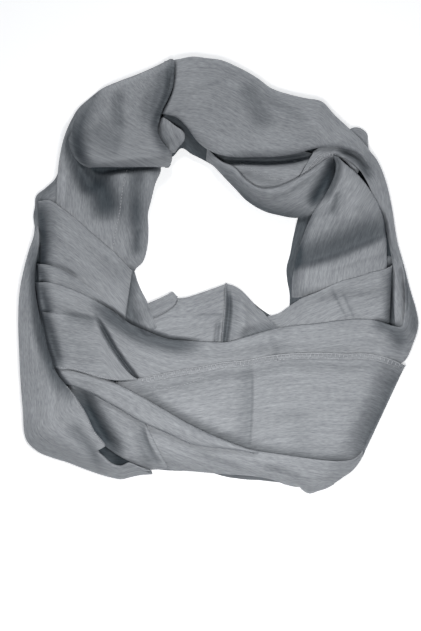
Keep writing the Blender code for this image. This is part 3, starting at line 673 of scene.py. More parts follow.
# The creases of each stretch, as height, width, path and sometimes lean
CREASES = {
    "core": (
        (-9, 7, ((98, 449), (110, 459), (124, 463))),
        (-8, 5, ((196, 148), (222, 160), (243, 162), (285, 160.5), (310, 157), (335, 149))),
        (-6, 3.5, ((343, 158), (357, 167), (368, 181))),
        (-4, 4, ((158, 120), (176, 128), (181, 141), (170, 152))),
    ),
    "right_inner_strip": (
        (-9, 10, ((314, 200), (305, 225), (300, 248), (297, 270), (298, 300))),
    ),
    "left_back_fold": (
        (-5, 8, ((58, 165), (46, 190), (36, 205), (34, 232))),
    ),
    "corner_ear": (
        (-3, 4, ((345, 138), (356, 142), (366, 156))),
    ),
    "top_under_fold": (
        (-9, 11, ((164, 116), (182, 130), (198, 144), (218, 164))),
    ),
    "gap_flap": (
        (-4, 6, ((158, 124), (162, 138), (170, 150))),
    ),
    "hollow_fold": (
        (-11, 7, ((391, 256), (392, 290), (393, 334))),
    ),
    "left_drop": (
        (5, 5.5, ((72, 112), (62.5, 140), (60.5, 165), (61, 190), (64, 222))),
        (-13, 8.5, ((72, 132), (76, 156), (84, 178), (96, 196))),
        (-12, 13, ((92, 158), (99, 182), (106, 206), (108, 224))),
        (-12, 3.8, ((84, 164), (100, 168.5), (125, 167), (150, 165.5), (168, 168))),
        (-7, 8, ((136, 160), (137, 186), (136, 212), (136, 236))),
        (2, 9, ((70, 214), (90, 230), (108, 246))),
        (0.5, 1.6, ((69, 184), (66, 197), (63, 210))),
        (2, 6, ((120, 236), (126, 262))),
        (-5, 5, ((139, 226), (137, 240), (136, 258))),
        (2, 3, ((150, 172), (147, 196), (145, 220))),
        (-0.8, 1.6, ((128.5, 168), (124.5, 184), (120, 215), (113.5, 249))),
    ),
    "seam_tuck": (
        (-16, 4.2, ((206, 150), (222, 157), (250, 159.5), (285, 159), (306, 155.5), (326, 149))),
        (-2, 4, ((236, 170), (252, 177), (270, 184), (286, 184))),
    ),
    "right_outer_strip": (
        (2.5, 5, ((374, 166), (384, 190), (389, 215), (393, 240), (400, 262))),
        (-8, 5.5, ((336, 147), (352, 153), (364, 164), (373, 182))),
        (-5, 5, ((378, 206), (384, 228), (391, 250), (396, 268))),
    ),
    "hammock_fold": (
        (3, 6, ((226, 165), (246, 183), (265, 191), (286, 189), (308, 177))),
        (-9, 9, ((222, 188), (250, 212), (280, 225), (306, 226), (334, 214))),
        (-9, 7, ((340, 154), (331, 174), (321, 192), (310, 210))),
    ),
    "top_right_band": (
        (1.8, 5, ((280, 99), (300, 110), (322, 123), (345, 137), (360, 150)), 0.4),
        (-4, 10, ((244, 80), (256, 104), (268, 132))),
        (-1, 2.6, ((182, 99), (203, 88), (220, 81), (238, 73))),
        (2, 1.8, ((175.5, 60), (175.5, 76), (173, 92), (167, 108))),
        (2.5, 12, ((196, 80), (216, 108), (236, 130))),
        (-2, 6, ((262, 92), (286, 108), (312, 126))),
        (2, 7, ((226, 147), (262, 149), (300, 145))),
    ),
    "top_cap": (
        (-11, 4.5, ((174, 52), (172, 74), (168, 96), (161, 112), (157, 126), (157, 140)), 0.2),
        (-5, 9, ((172, 60), (162, 84), (152, 108), (150, 130))),
        (-4, 5.5, ((119, 88), (117.5, 104), (118, 120), (120, 134))),
        (-3.5, 13, ((92, 124), (104, 138), (124, 146))),
        (-5, 3.5, ((158, 128), (161, 142), (170, 153))),
        (2, 8, ((136, 88), (140, 112), (140, 136))),
        (-13, 8.5, ((98, 84), (84, 106), (77, 130), (77, 150), (84, 172))),
        (3, 4.5, ((94, 163), (120, 160), (150, 157.5), (172, 160))),
    ),
    "right_lobe": (
        (-7, 4, ((338, 150), (337, 168), (331, 186), (322, 202))),
        (-3, 3.5, ((339, 190), (337, 203), (333, 218))),
        (-12, 11.5, ((402, 224), (380, 234), (356, 244), (334, 253), (296, 264), (270, 274)), 0.5),
        (1.8, 3, ((392, 251), (366, 257), (346, 264), (320, 273))),
        (2, 9, ((350, 176), (358, 196), (356, 214))),
        (-5, 5, ((386, 200), (391, 236), (392, 268))),
    ),
    "inner_peak_left": (
        (1.2, 1.8, ((190, 313), (210, 312), (228, 312.5))),
        (-1.5, 1.8, ((190, 316.5), (210, 316), (228, 316.5))),
        (0.8, 1.5, ((173, 306), (180, 302), (188, 298.5))),
        (1.5, 2, ((223, 290), (224, 310), (221, 326), (219, 346))),
        (-3.5, 2, ((219, 318), (217, 332), (215, 352))),
    ),
    "inner_peak_right": (
        (-9, 2.6, ((227, 283), (229, 305), (227.5, 322), (223, 354))),
        (-5, 6, ((238, 340), (255, 331), (280, 326))),
        (2, 4, ((242, 296), (245, 316), (242, 334))),
    ),
    "cross_band": (
        (1, 1.3, ((332.5, 286), (337.5, 297), (343, 307), (350, 321))),
        (0.9, 1.3, ((343, 290), (348.5, 301), (352.5, 310), (358, 322))),
        (-10, 7, ((396, 262), (395, 296), (392, 334))),
    ),
    "inner_flap": (
        (-9, 8, ((136, 262), (130, 284), (128, 304), (138, 332))),
    ),
    "left_band_upper": (
        (-9, 8, ((36, 196), (41, 220), (41, 242), (39, 270))),
        (-9, 6, ((38, 250), (42, 280), (44, 310))),
        (-1.5, 7, ((98, 258), (112, 270), (122, 286))),
    ),
    "left_band_lower": (
        (-3, 5, ((40, 262), (58, 266), (80, 277))),
        (-8, 6, ((36, 262), (42, 285), (46, 312))),
    ),
    "front_band": (
        (-11, 8.5, ((90, 296), (116, 319), (142, 334), (172, 343), (206, 345))),
        (-1.5, 3, ((269, 334), (275, 346), (277, 360))),
        (-14, 2.1, ((95, 314), (105, 333), (113, 347), (122.5, 361), (134, 376), (146, 392))),
        (-7, 8, ((372, 318), (394, 330), (406, 352))),
        (-7, 6, ((409, 276), (413, 306), (415, 340))),
        (-9, 6, ((36, 276), (43, 300), (48, 330), (54, 366))),
    ),
    "hem_panel": (
        (0.7, 1.2, ((253, 362), (254, 390), (253, 420), (250.5, 452))),
        (-2.4, 6, ((250.5, 356), (251.5, 390), (250.5, 420), (248, 455)), 0.7),
        (-6, 8, ((120, 390), (150, 405), (180, 422), (210, 437), (240, 448), (274, 456))),
        (-5, 8, ((244, 454), (290, 460), (320, 464), (358, 464))),
        (-1, 12, ((290, 400), (300, 430), (306, 462))),
        (-8, 17, ((406, 362), (392, 396), (376, 430), (362, 466))),
    ),
    "bottom_band": (
        (-1.6, 3.5, ((190, 452), (220, 462), (248, 472))),
        (-2, 3.5, ((262, 468), (285, 473), (306, 482))),
        (1.5, 9, ((160, 458), (200, 463), (250, 469), (300, 477), (340, 475), (358, 456))),
    ),
    "lower_band": (
        (1.2, 1.2, ((145, 424), (149, 440), (157, 454), (166, 466))),
        (-14, 10, ((73, 382), (84, 403), (95, 424), (107, 443), (122, 462))),
        (-3, 3, ((140, 422), (145, 440), (152, 454), (162, 470))),
    ),
    "lower_roll": (
        (2, 5, ((60, 372), (100, 384), (140, 406), (180, 426), (216, 441))),
    ),
    "front_band_left": (
        (2, 9, ((72, 330), (92, 344), (106, 364))),
        (-9, 6, ((40, 306), (47, 330), (53, 350), (60, 374))),
        (-3, 9, ((62, 312), (84, 318), (98, 326))),
    ),
    "left_outer_band": (
        (-14, 8, ((36, 236), (37, 280), (40, 318), (48, 350), (60, 380), (77, 406))),
        (1, 1.8, ((27, 392), (38, 387), (51, 381))),
        (-4, 6, ((68, 420), (80, 438), (90, 450), (102, 474))),
        (2, 8, ((40, 400), (56, 424), (70, 446))),
        (2.5, 7, ((26, 250), (25, 330), (28, 400), (40, 442), (80, 458))),
    ),
}

# Sewn lines on the plan
HEM_LINE = (
    (142, 378.6), (160, 375), (180, 371), (200, 368), (222, 363.6), (246, 361.4), (270, 356.8),
    (296, 354.4), (322, 354), (346, 354.8), (368, 354.8), (385, 358.4), (397, 362.8), (404, 366),
)
HEM_INNER_LINE = ((150, 387), (165, 388), (175, 386.5), (185, 384.5), (195, 381), (205, 377))
DROP_SEAM = ((127, 169), (125, 176), (122.5, 188), (120.5, 205), (118.5, 217), (116, 229), (113, 246))
TUCK_SEAM = ((240, 164), (247, 168), (255, 172), (262, 175), (270, 177.5), (278, 180), (286, 181.5))
TUCK_SEAM_TWIN = tuple((x - 0.66, y - 2.2) for x, y in TUCK_SEAM)
LEFT_HEM_LINE = (
    (56, 366.8), (67, 367.6), (82, 370.8), (96, 375), (108, 377.6), (123, 378.9), (137, 378.3),
)
STRIP_EDGE = ((299.5, 175.5), (307, 169.5), (313.5, 161.5), (320.5, 155), (328, 152.6), (336, 154))
FRAYED_EDGE = ((67, 386.5), (72, 393), (78, 402.5), (84, 413), (90, 425), (97, 436), (103, 443.5))

# Overlock stitches across an edge: the stretch, where, how far they reach to each side, and how
# far apart they are
Ladder = namedtuple("Ladder", "stretch path reach pitch seed")
HEM_LADDERS = (Ladder("hem_panel", HEM_LINE, (-0.6, 4.2), 4.2, 1),)
SEAM_LADDERS = (Ladder("right_outer_strip", STRIP_EDGE, (0.2, 3.0), 3.2, 5),)

# Single stitches in a row: the stretch, where, their length, the space between, and their radius
Running = namedtuple("Running", "stretch path stitch space radius")
HEM_RUNS = (Running("hem_panel", HEM_INNER_LINE, 2.4, 1.0, 0.3),)
SEAM_RUNS = (
    Running("left_drop", DROP_SEAM, 2.6, 0.6, 0.38),
    Running("seam_tuck", TUCK_SEAM, 2.4, 0.8, 0.26),
    Running("seam_tuck", TUCK_SEAM_TWIN, 2.4, 0.8, 0.26),
    Running("front_band_left", LEFT_HEM_LINE, 1.8, 0.8, 0.34),
    Running("left_outer_band", FRAYED_EDGE, 1.6, 0.9, 0.4),
)


def smooth_rows(rows, at, loop=False):
    """Rows read off a smooth curve through the given ones, at places from 0 to 1."""
    points = np.array(rows, float)
    if loop:
        points = np.vstack([points[-2:], points, points[:3]])
    steps = np.diff(points, axis=0)
    length = 0.5 * (np.hypot(steps[:, 0], steps[:, 1]) + np.hypot(steps[:, 2], steps[:, 3]))
    knots = np.concatenate([[0.0], np.cumsum(np.maximum(length, 1.0))])
    gaps = np.diff(knots)[:, None]
    slopes = steps / gaps
    tangents = np.vstack([slopes[:1], slopes[1:], slopes[-1:]])
    tangents[1:-1] = (slopes[:-1] * gaps[1:] + slopes[1:] * gaps[:-1]) / (gaps[1:] + gaps[:-1])
    start, end = (knots[2], knots[-3]) if loop else (knots[0], knots[-1])
    at = start + (end - start) * np.asarray(at)
    k = np.clip(np.searchsorted(knots, at, side="right") - 1, 0, len(gaps) - 1)
    s = ((at - knots[k]) / gaps[k, 0])[:, None]
    h = gaps[k]
    return (
        (1 + 2 * s) * (1 - s) ** 2 * points[k]
        + s * (1 - s) ** 2 * h * tangents[k]
        + s * s * (3 - 2 * s) * points[k + 1]
        + s * s * (s - 1) * h * tangents[k + 1]
    )


class Plan:
    """A value for each square of the plan, read smoothly between squares."""

    def __init__(self, step, value=0.0):
        self.step = step
        shape = (int(PLAN_SIZE[1] / step) + 1, int(PLAN_SIZE[0] / step) + 1)
        self.value = np.full(shape, value)

    def places(self):
        """The x and y of every square."""
        rows, cols = self.value.shape
        y, x = np.mgrid[0:rows, 0:cols] * self.step
        return x, y

    def at(self, x, y):
        rows, cols = self.value.shape
        fx = np.clip(np.asarray(x) / self.step, 0, cols - 1.001)
        fy = np.clip(np.asarray(y) / self.step, 0, rows - 1.001)
        i, j = fy.astype(int), fx.astype(int)
        s, t = fx - j, fy - i
        v = self.value
        upper = v[i, j] * (1 - s) + v[i, j + 1] * s
        lower = v[i + 1, j] * (1 - s) + v[i + 1, j + 1] * s
        return upper * (1 - t) + lower * t

    def raise_to(self, points):
        """Raise the squares below some places to their height."""
        rows, cols = self.value.shape
        j = np.clip(np.rint(points[..., 0] / self.step).astype(int), 0, cols - 1)
        i = np.clip(np.rint(points[..., 1] / self.step).astype(int), 0, rows - 1)
        np.maximum.at(self.value, (i.ravel(), j.ravel()), points[..., 2].ravel())

    def widened(self, reach):
        """The highest value within reach squares along each direction."""
        out = Plan(self.step)
        out.value = self.value.copy()
        for axis in (0, 1):
            best = out.value.copy()
            for shift in range(1, reach + 1):
                for turn in (-shift, shift):
                    best = np.maximum(best, np.roll(out.value, turn, axis))
            out.value = best
        return out

    def softened(self, spread):
        """A bell-shaped average over about spread millimetres."""
        reach = int(2.5 * spread / self.step)
        weights = np.exp(-0.5 * (np.arange(-reach, reach + 1) * self.step / spread) ** 2)
        weights /= weights.sum()
        out = Plan(self.step)
        out.value = self.value
        for axis in (0, 1):
            out.value = sum(
                w * np.roll(out.value, s, axis)
                for w, s in zip(weights, range(-reach, reach + 1), strict=True)
            )
        return out


def segment_gaps(x, y, start, end):
    """How far along a straight line each place is, from 0 to 1, and how far from it."""
    dx, dy = end[0] - start[0], end[1] - start[1]
    t = np.clip(((x - start[0]) * dx + (y - start[1]) * dy) / (dx * dx + dy * dy), 0, 1)
    return t, np.hypot(x - start[0] - t * dx, y - start[1] - t * dy)


def distance_inside(x, y, outline):
    """How far each place is inside a closed outline, below zero where it is outside."""
    nearest = np.full(x.shape, FAR_AWAY)
    inside = np.zeros(x.shape, bool)
    for start, end in zip(outline, np.roll(outline, -1, axis=0), strict=True):
        nearest = np.minimum(nearest, segment_gaps(x, y, start, end)[1])
        (ax, ay), (bx, by) = start, end
        if ay != by:
            crosses = (ay > y) != (by > y)
            inside ^= crosses & (x < ax + (y - ay) * (bx - ax) / (by - ay))
    return np.where(inside, nearest, -nearest)


def near_path(x, y, path):
    """How far each place is from a path, how far along it from 0 to 1, and on which side."""
    best = np.full(x.shape, FAR_AWAY)
    along = np.zeros(x.shape)
    side = np.ones(x.shape)
    count = len(path) - 1
    for k, ((ax, ay), (bx, by)) in enumerate(zip(path[:-1], path[1:], strict=True)):
        t, gap = segment_gaps(x, y, (ax, ay), (bx, by))
        nearer = gap < best
        best = np.where(nearer, gap, best)
        along = np.where(nearer, (k + t) / count, along)
        side = np.where(nearer, np.sign((bx - ax) * (y - ay) - (by - ay) * (x - ax)), side)
    return best, along, side


def swell(distance, width):
    """From 0 at an edge to 1 at width from it, rounded like a fold."""
    return np.sin(0.5 * pi * np.clip(distance / width, -0.25, 1))


def ease(t):
    """From 0 to 1, level at both ends."""
    t = np.clip(t, 0, 1)
    return t * t * (3 - 2 * t)


def mound_plan():
    """The smooth height that the whole ring of layers would have."""
    plan = Plan(MOUND_STEP)
    x, y = plan.places()
    ring = smooth_rows(RING_SECTIONS, np.linspace(0, 1, RING_PLACES, endpoint=False), loop=True)
    from_outer = distance_inside(x, y, ring[:, 0:2])
    from_hole = -distance_inside(x, y, ring[:, 2:4])
    forward = np.clip((y - CREST_TOP_Y) / (CREST_FRONT_Y - CREST_TOP_Y), 0, 1)
    crest = CREST_TOP + (CREST_FRONT - CREST_TOP) * forward
    rise = np.minimum(swell(from_outer, FLANK_OUTER), swell(from_hole, FLANK_HOLE))
    plan.value = EDGE_HEIGHT + (crest - EDGE_HEIGHT) * rise
    return plan.softened(MOUND_SOFTNESS)


def path_length(points):
    return np.hypot(*np.diff(points, axis=0).T).sum()


def smooth_path(path, count):
    return smooth_rows([(x, y, x, y) for x, y in path], np.linspace(0, 1, count))[:, 0:2]


def step_lengths(grid, axis):
    """Plan distances between the neighbours of a grid, one way."""
    return np.hypot(*np.moveaxis(np.diff(grid[..., 0:2], axis=axis), 2, 0))


def distances_across(grid):
    """How far each place of a grid is from its first column, along its row."""
    steps = step_lengths(grid, 1)
    return np.hstack([np.zeros((len(grid), 1)), np.cumsum(steps, axis=1)])


def creases_of(table, name):
    return [Crease(*row) for row in table.get(name, ())]


def crease_relief(creases, x, y):
    """How far the creases raise or lower each place."""
    total = np.zeros(x.shape)
    for crease in creases:
        gap, along, side = near_path(x, y, smooth_path(crease.path, 20))
        width = crease.width * (1 + crease.lean * side)
        taper = ease(np.minimum(along, 1 - along) / CREASE_TAPER + CREASE_END)
        total += crease.height * taper * np.exp(-((gap / width) ** 2))
    return total


def stations(length):
    """Places along a length, from 0 to 1, closer together at its two ends."""
    near = np.array(EDGE_STEPS) * min(1.0, length / (SHORTEST_STRETCH * EDGE_STEPS[-1]))
    count = max(int((length - 2 * near[-1]) / CELL), 2)
    middle = np.linspace(near[-1], length - near[-1], count + 1)
    return np.concatenate([near[:-1], middle, (length - near[:-1])[::-1]]) / length


def edge_profile(edge, distance):
    """How much of the full rise the cloth has at a distance from one of its edges."""
    t = np.clip(distance / edge.roll, 0, 1)
    if edge.kind == "fade":
        return ease(t)
    return (1 - (1 - t) ** FOLD_FULLNESS) ** (1 / FOLD_FULLNESS)


def flat_grid(stretch):
    """A stretch's places on the plan, and its distances from its four edges."""
    rough = smooth_rows(stretch.rows, np.linspace(0, 1, 40))
    length = max(path_length(rough[:, 0:2]), path_length(rough[:, 2:4]))
    width = np.hypot(*(rough[:, 2:4] - rough[:, 0:2]).T).max()
    edges = smooth_rows(stretch.rows, stations(length))
    v = stations(width)[None, :, None]
    plan = edges[:, None, 0:2] * (1 - v) + edges[:, None, 2:4] * v
    across = distances_across(plan)
    along = distances_across(np.swapaxes(plan, 0, 1)).T
    return plan, (across, across[:, -1:] - across, along, along[-1:] - along)


def ripples(seed, across, along):
    """Low, uneven waves in the cloth, longer than they are wide."""
    random = np.random.default_rng(seed)
    total = np.zeros(across.shape)
    for _ in range(RIPPLE_WAVES):
        turn = across / random.uniform(*RIPPLE_WIDTHS) + along / random.uniform(*RIPPLE_LENGTHS)
        wave = along / random.uniform(*RIPPLE_SWELLS) + random.random()
        swell_at = 0.5 + 0.5 * np.sin(2 * pi * wave)
        total += RIPPLE_HEIGHT * swell_at * np.sin(2 * pi * (turn + random.random()))
    return total


def blurred(grid, rounds):
    for _ in range(rounds):
        padded = np.pad(grid, 1, mode="edge")
        grid = 0.25 * (padded[:-2, 1:-1] + padded[2:, 1:-1] + padded[1:-1, :-2] + padded[1:-1, 2:])
    return grid


def dense_places(points, times):
    """The grid's points and times as many between them each way."""
    for axis in (0, 1):
        lower = np.take(points, range(points.shape[axis] - 1), axis)
        upper = np.take(points, range(1, points.shape[axis]), axis)
        parts = [lower + (upper - lower) * k / times for k in range(times)]
        last = np.take(points, [points.shape[axis] - 1], axis)
        points = np.concatenate([*parts, last], axis)
    return points


def turn_under(points, edge, lip, axis, end):
    """Add the part of a folded edge that turns under the cloth."""
    if edge.kind == "fade":
        return points
    grid = np.moveaxis(points, axis, 0)
    if end:
        grid = grid[::-1]
    reach = min(LIP_CELLS, len(grid) - 1)
    outward = grid[0, :, 0:2] - grid[reach, :, 0:2]
    outward /= np.maximum(np.hypot(*outward.T), 1e-6)[:, None]
    rows = []
    for out, down in LIP_SHAPE:
        row = grid[0].copy()
        row[:, 0:2] += outward * out * lip
        row[:, 2] += down * lip
        # Painted shade on the underside of the part that turns under
        row[:, 5] = np.maximum(row[:, 5], LIP_SHADE * -down)
        rows.append(row)
    grid = np.concatenate([rows[::-1], grid])
    if end:
        grid = grid[::-1]
    return np.moveaxis(grid, 0, axis)


def sunken_mounds(mound):
    """The mound under each stretch, with its own troughs and those of all that lie on it."""
    x, y = mound.places()
    sunk = np.zeros(mound.value.shape)
    mounds = {}
    for stretch in reversed(STRETCHES):
        troughs = [crease for crease in creases_of(CREASES, stretch.name) if crease.height < 0]
        if troughs:
            edges = smooth_rows(stretch.rows, np.linspace(0, 1, 24))
            outline = np.vstack([edges[:, 0:2], edges[::-1, 2:4]])
            inside = ease(distance_inside(x, y, outline) / TROUGH_MARGIN + 1)
            sunk += crease_relief(troughs, x, y) * inside
        mounds[stretch.name] = Plan(mound.step)
        mounds[stretch.name].value = np.maximum(mound.value + sunk, LOWEST_CLOTH)
    mounds["core"] = mounds[STRETCHES[0].name]
    return mounds


def trough_painted_shade(x, y, level, mound):
    """Painted shade, from 0 on open cloth towards 1 deep in a trough."""
    return 1 - np.exp((mound.at(x, y) - level.at(x, y)) / PAINTED_SHADE_DEPTH)


def cloth_painted_shade(name, x, y, level, mound):
    """Painted shade on a stretch's cloth: from its troughs, from the shade of what lies on it, and from
    SHADES.
    """
    hollow = np.maximum(trough_painted_shade(x, y, level, mound), SHADED.get(name, 0))
    hollow = PLAIN_PAINTED_SHADE + (1 - PLAIN_PAINTED_SHADE) * hollow
    return hollow + crease_relief(creases_of(SHADES, name), x, y)


def lay_stretch(stretch, seed, level, mound, top):
    """Lay one stretch on the pile and add it to the pile.

    Returns a grid of places, with each one's texture place and the painted shade of its cloth.
    """
    plan, distances = flat_grid(stretch)
    x, y = plan[..., 0], plan[..., 1]
    edges = (stretch.side_a, stretch.side_b, stretch.first, stretch.last)
    full = np.ones(x.shape)
    flush = np.ones(x.shape)
    for edge, distance in zip(edges, distances, strict=True):
        profile = edge_profile(edge, distance)
        full *= profile
        if edge.kind == "fade":
            flush *= profile
    lip = min(LIP, LIP_SHARE * stretch.rise)
    lip_height = LIP_DEPTH * lip
    grain_across, grain_along = distances[0], distances[2]
    if stretch.grain == "across":
        grain_across, grain_along = distances[2], distances[0]

    pile = Plan(top.step)
    pile.value = np.maximum(top.value - mound.at(*pile.places()), 0)
    under = pile.widened(BRIDGE_REACH).softened(BRIDGE_SOFTNESS)
    z = mound.at(x, y) + under.at(x, y) + LAYER_GAP + THICKNESS
    z += lip_height * flush + (stretch.rise - lip_height) * full
    ridges = [crease for crease in creases_of(CREASES, stretch.name) if crease.height > 0]
    z += crease_relief(ridges, x, y) * flush
    z += ripples(seed, grain_across, grain_along) * flush

    need = top.widened(1).at(x, y) + LAYER_GAP + THICKNESS + LIP_COVER * lip_height * flush - z
    lift = np.maximum(need, 0)
    z += np.maximum(lift, blurred(lift, LIFT_ROUNDS)) * flush
    z -= np.clip(z - top.at(x, y) + SINK, 0, FADE_DROP) * (1 - flush) ** FADE_POWER
    points = np.dstack([x, y, z])
    top.raise_to(dense_places(points, 3))

    uv = np.dstack([grain_across, grain_along]) + TEXTURE_SPACING * seed
    data = np.dstack([points, uv, cloth_painted_shade(stretch.name, x, y, level, mound)])
    data = turn_under(data, stretch.side_a, lip, 1, False)
    data = turn_under(data, stretch.side_b, lip, 1, True)
    data = turn_under(data, stretch.first, lip, 0, False)
    return turn_under(data, stretch.last, lip, 0, True)


def to_part_frame(points):
    """Metres in the part's frame for plan millimetres."""
    out = np.empty_like(points)
    out[..., 0] = (points[..., 0] - PLAN_MIDDLE[0]) * MM
    out[..., 1] = (PLAN_MIDDLE[1] - points[..., 1]) * MM
    out[..., 2] = points[..., 2] * MM
    return out


def add_object(name, data):
    obj = bpy.data.objects.new(name, data)
    bpy.context.scene.collection.objects.link(obj)
    return obj


def grid_faces(rows, cols, loop):
    """Corner numbers of the squares of a grid, joined up both ways where it is a loop."""
    i = np.arange(rows if loop else rows - 1)[:, None]
    j = np.arange(cols if loop else cols - 1)[None, :]
    k, m = (i + 1) % rows, (j + 1) % cols
    corners = (i * cols + j, k * cols + j, k * cols + m, i * cols + m)
    return np.stack(np.broadcast_arrays(*corners), -1).reshape(-1, 4)


def grid_object(name, data, material, loop=False):
    """A smooth mesh object over a grid of places, facing up."""
    rows, cols = data.shape[:2]
    verts = to_part_frame(data[..., 0:3])
    uv, hollow = data[..., 3:5], data[..., 5]
    faces = grid_faces(rows, cols, loop)
    flat = verts.reshape(-1, 3)
    side_1 = flat[faces[:, 2]] - flat[faces[:, 0]]
    side_2 = flat[faces[:, 3]] - flat[faces[:, 1]]
    if np.cross(side_1, side_2)[:, 2].sum() < 0 and not loop:
        faces = faces[:, ::-1]
    mesh = bpy.data.meshes.new(name)
    mesh.from_pydata(flat.tolist(), [], faces.tolist())
    layer = mesh.uv_layers.new(name="cloth")
    corner_uv = (uv.reshape(-1, 2) * MM)[faces.ravel()]
    layer.data.foreach_set("uv", corner_uv.ravel())
    # Painted shade for the material, one value for each point
    mesh.attributes.new("hollow", "FLOAT", "POINT").data.foreach_set("value", hollow.ravel())
    mesh.shade_smooth()
    mesh.materials.append(material)
    return add_object(name, mesh)


def core_points(mound):
    """The core's sections: up its outer side, over its crest and down to the hole."""
    ring = smooth_rows(RING_SECTIONS, np.linspace(0, 1, CORE_SECTIONS, endpoint=False), loop=True)
    sections = []
    lip_insets = np.array([inset for inset, _ in SIDE_LIPS])
    lip_heights = np.array([height for _, height in SIDE_LIPS])
    count = len(SIDE_LIPS)
    for number, (ox, oy, hx, hy) in enumerate(ring):
        inward = np.array([hx - ox, hy - oy])
        reach = np.hypot(*inward)
        inward /= reach
        wave = 0.7 * np.sin(number * 0.31) + 0.5 * np.sin(number * 0.83 + lip_heights)
        insets = np.concatenate([
            lip_insets + wave,
            np.linspace(CORE_SIDE, reach - CORE_SIDE, CORE_STATIONS),
            reach - (lip_insets - wave)[::-1],
        ])
        places = np.array([ox, oy]) + np.outer(insets, inward)
        inset = np.minimum(insets, reach - insets)
        slack = CORE_COVER + CORE_SLACK * ease((inset - CORE_SIDE) / CORE_SLACK_WIDTH)
        heights = np.maximum(mound.at(places[:, 0], places[:, 1]) - slack, CORE_LOWEST)
        heights[:count] = lip_heights
        heights[-count:] = lip_heights[::-1]
        sections.append(np.column_stack([places, heights]))
    points = np.array(sections)
    inner = points[:, count:-count]
    inner[..., 2] += crease_relief(creases_of(CREASES, "core"), inner[..., 0], inner[..., 1])
    inner[..., 2] = np.maximum(inner[..., 2], CORE_LOWEST)
    return points


def cloth_tree(piece):
    """A piece's faces, sorted so that a ray finds them quickly."""
    faces = [tuple(face.vertices) for face in piece.data.polygons]
    return BVHTree.FromPolygons([vertex.co for vertex in piece.data.vertices], faces)


def height_on_cloth(tree, x, y):
    """The height in mm of a piece's face at a place on the plan, or None beside the piece."""
    start = Vector(((x - PLAN_MIDDLE[0]) * MM, (PLAN_MIDDLE[1] - y) * MM, ABOVE_ALL))
    hit = tree.ray_cast(start, Vector((0, 0, -1)))[0]
    return hit.z / MM if hit else None


def line_on_cloth(tree, path, step, lift):
    """Places every step mm along a path on a piece, lift mm above its face."""
    count = int(path_length(smooth_path(path, 80)) / step) + 2
    points = []
    for x, y in smooth_path(path, count):
        height = height_on_cloth(tree, x, y)
        if height is not None:
            points.append((x, y, height + lift))
    return np.array(points)


def add_thread(bm, points, radius):
    """A round thread through plan points, with rounded ends."""
    points = to_part_frame(np.asarray(points, float))
    tangents = np.gradient(points, axis=0)
    tangents /= np.linalg.norm(tangents, axis=1, keepdims=True)
    side = np.cross(tangents, (0, 0, 1))
    side /= np.maximum(np.linalg.norm(side, axis=1, keepdims=True), 1e-9)
    up = np.cross(side, tangents)
    turns = np.arange(THREAD_SIDES) * 2 * pi / THREAD_SIDES
    rings = []
    for k, (point, right, over) in enumerate(zip(points, side, up, strict=True)):
        size = radius * MM * (THREAD_END if k in (0, len(points) - 1) else 1)
        ring = point + size * (np.outer(np.cos(turns), right) + np.outer(np.sin(turns), over))
        rings.append([bm.verts.new(place) for place in ring])
    for lower, upper in zip(rings[:-1], rings[1:], strict=True):
        for k in range(THREAD_SIDES):
            m = (k + 1) % THREAD_SIDES
            bm.faces.new((lower[k], lower[m], upper[m], upper[k]))
    bm.faces.new(rings[0][::-1])
    bm.faces.new(rings[-1])


def add_ladder(bm, tree, ladder):
    """Overlock stitches: bars across a cloth edge, and a thread along each end of them."""
    random = np.random.default_rng(ladder.seed)
    line = line_on_cloth(tree, ladder.path, ladder.pitch, THREAD_RADIUS)
    along = np.gradient(line[:, 0:2], axis=0)
    along /= np.hypot(*along.T)[:, None]
    across = np.column_stack([-along[:, 1], along[:, 0]])
    near, far = line.copy(), line.copy()
    near[:, 0:2] += across * ladder.reach[0]
    far[:, 0:2] += across * ladder.reach[1]
    for edge in (near, far):
        for place in edge:
            height = height_on_cloth(tree, place[0], place[1])
            if height is not None:
                place[2] = height + THREAD_RADIUS
    for start, end in zip(near, far, strict=True):
        slant = random.uniform(-BAR_SLANT, BAR_SLANT)
        middle = 0.5 * (start + end) + (0, 0, BAR_ARCH)
        end = end + (slant, 0, 0)
        add_thread(bm, [start, middle, end], THREAD_RADIUS * random.uniform(*BAR_SIZES))
    add_thread(bm, near, 0.8 * THREAD_RADIUS)
    add_thread(bm, far, 0.6 * THREAD_RADIUS)


def add_running(bm, tree, run):
    """Single stitches in a row along a path."""
    line = line_on_cloth(tree, run.path, run.stitch + run.space, STITCH_SINK * run.radius)
    share = run.stitch / (run.stitch + run.space)
    for start, end in zip(line[:-1], line[1:], strict=True):
        last = start + (end - start) * share
        middle = 0.5 * (start + last) + (0, 0, STITCH_ARCH)
        add_thread(bm, [start, middle, last], run.radius)


def make_stitches(name, ladders, runs, pieces, material):
    """One piece with all of these stitches, each lying on its stretch's cloth."""
    bm = bmesh.new()
    for ladder in ladders:
        add_ladder(bm, cloth_tree(pieces[ladder.stretch]), ladder)
    for run in runs:
        add_running(bm, cloth_tree(pieces[run.stretch]), run)
    mesh = bpy.data.meshes.new(name)
    bm.to_mesh(mesh)
    bm.free()
    mesh.shade_smooth()
    mesh.materials.append(material)
    obj = add_object(name, mesh)
    declare(obj)
    return obj


def declare(piece, *nodes):
    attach(piece, "root")
    if nodes:
        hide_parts(*nodes)


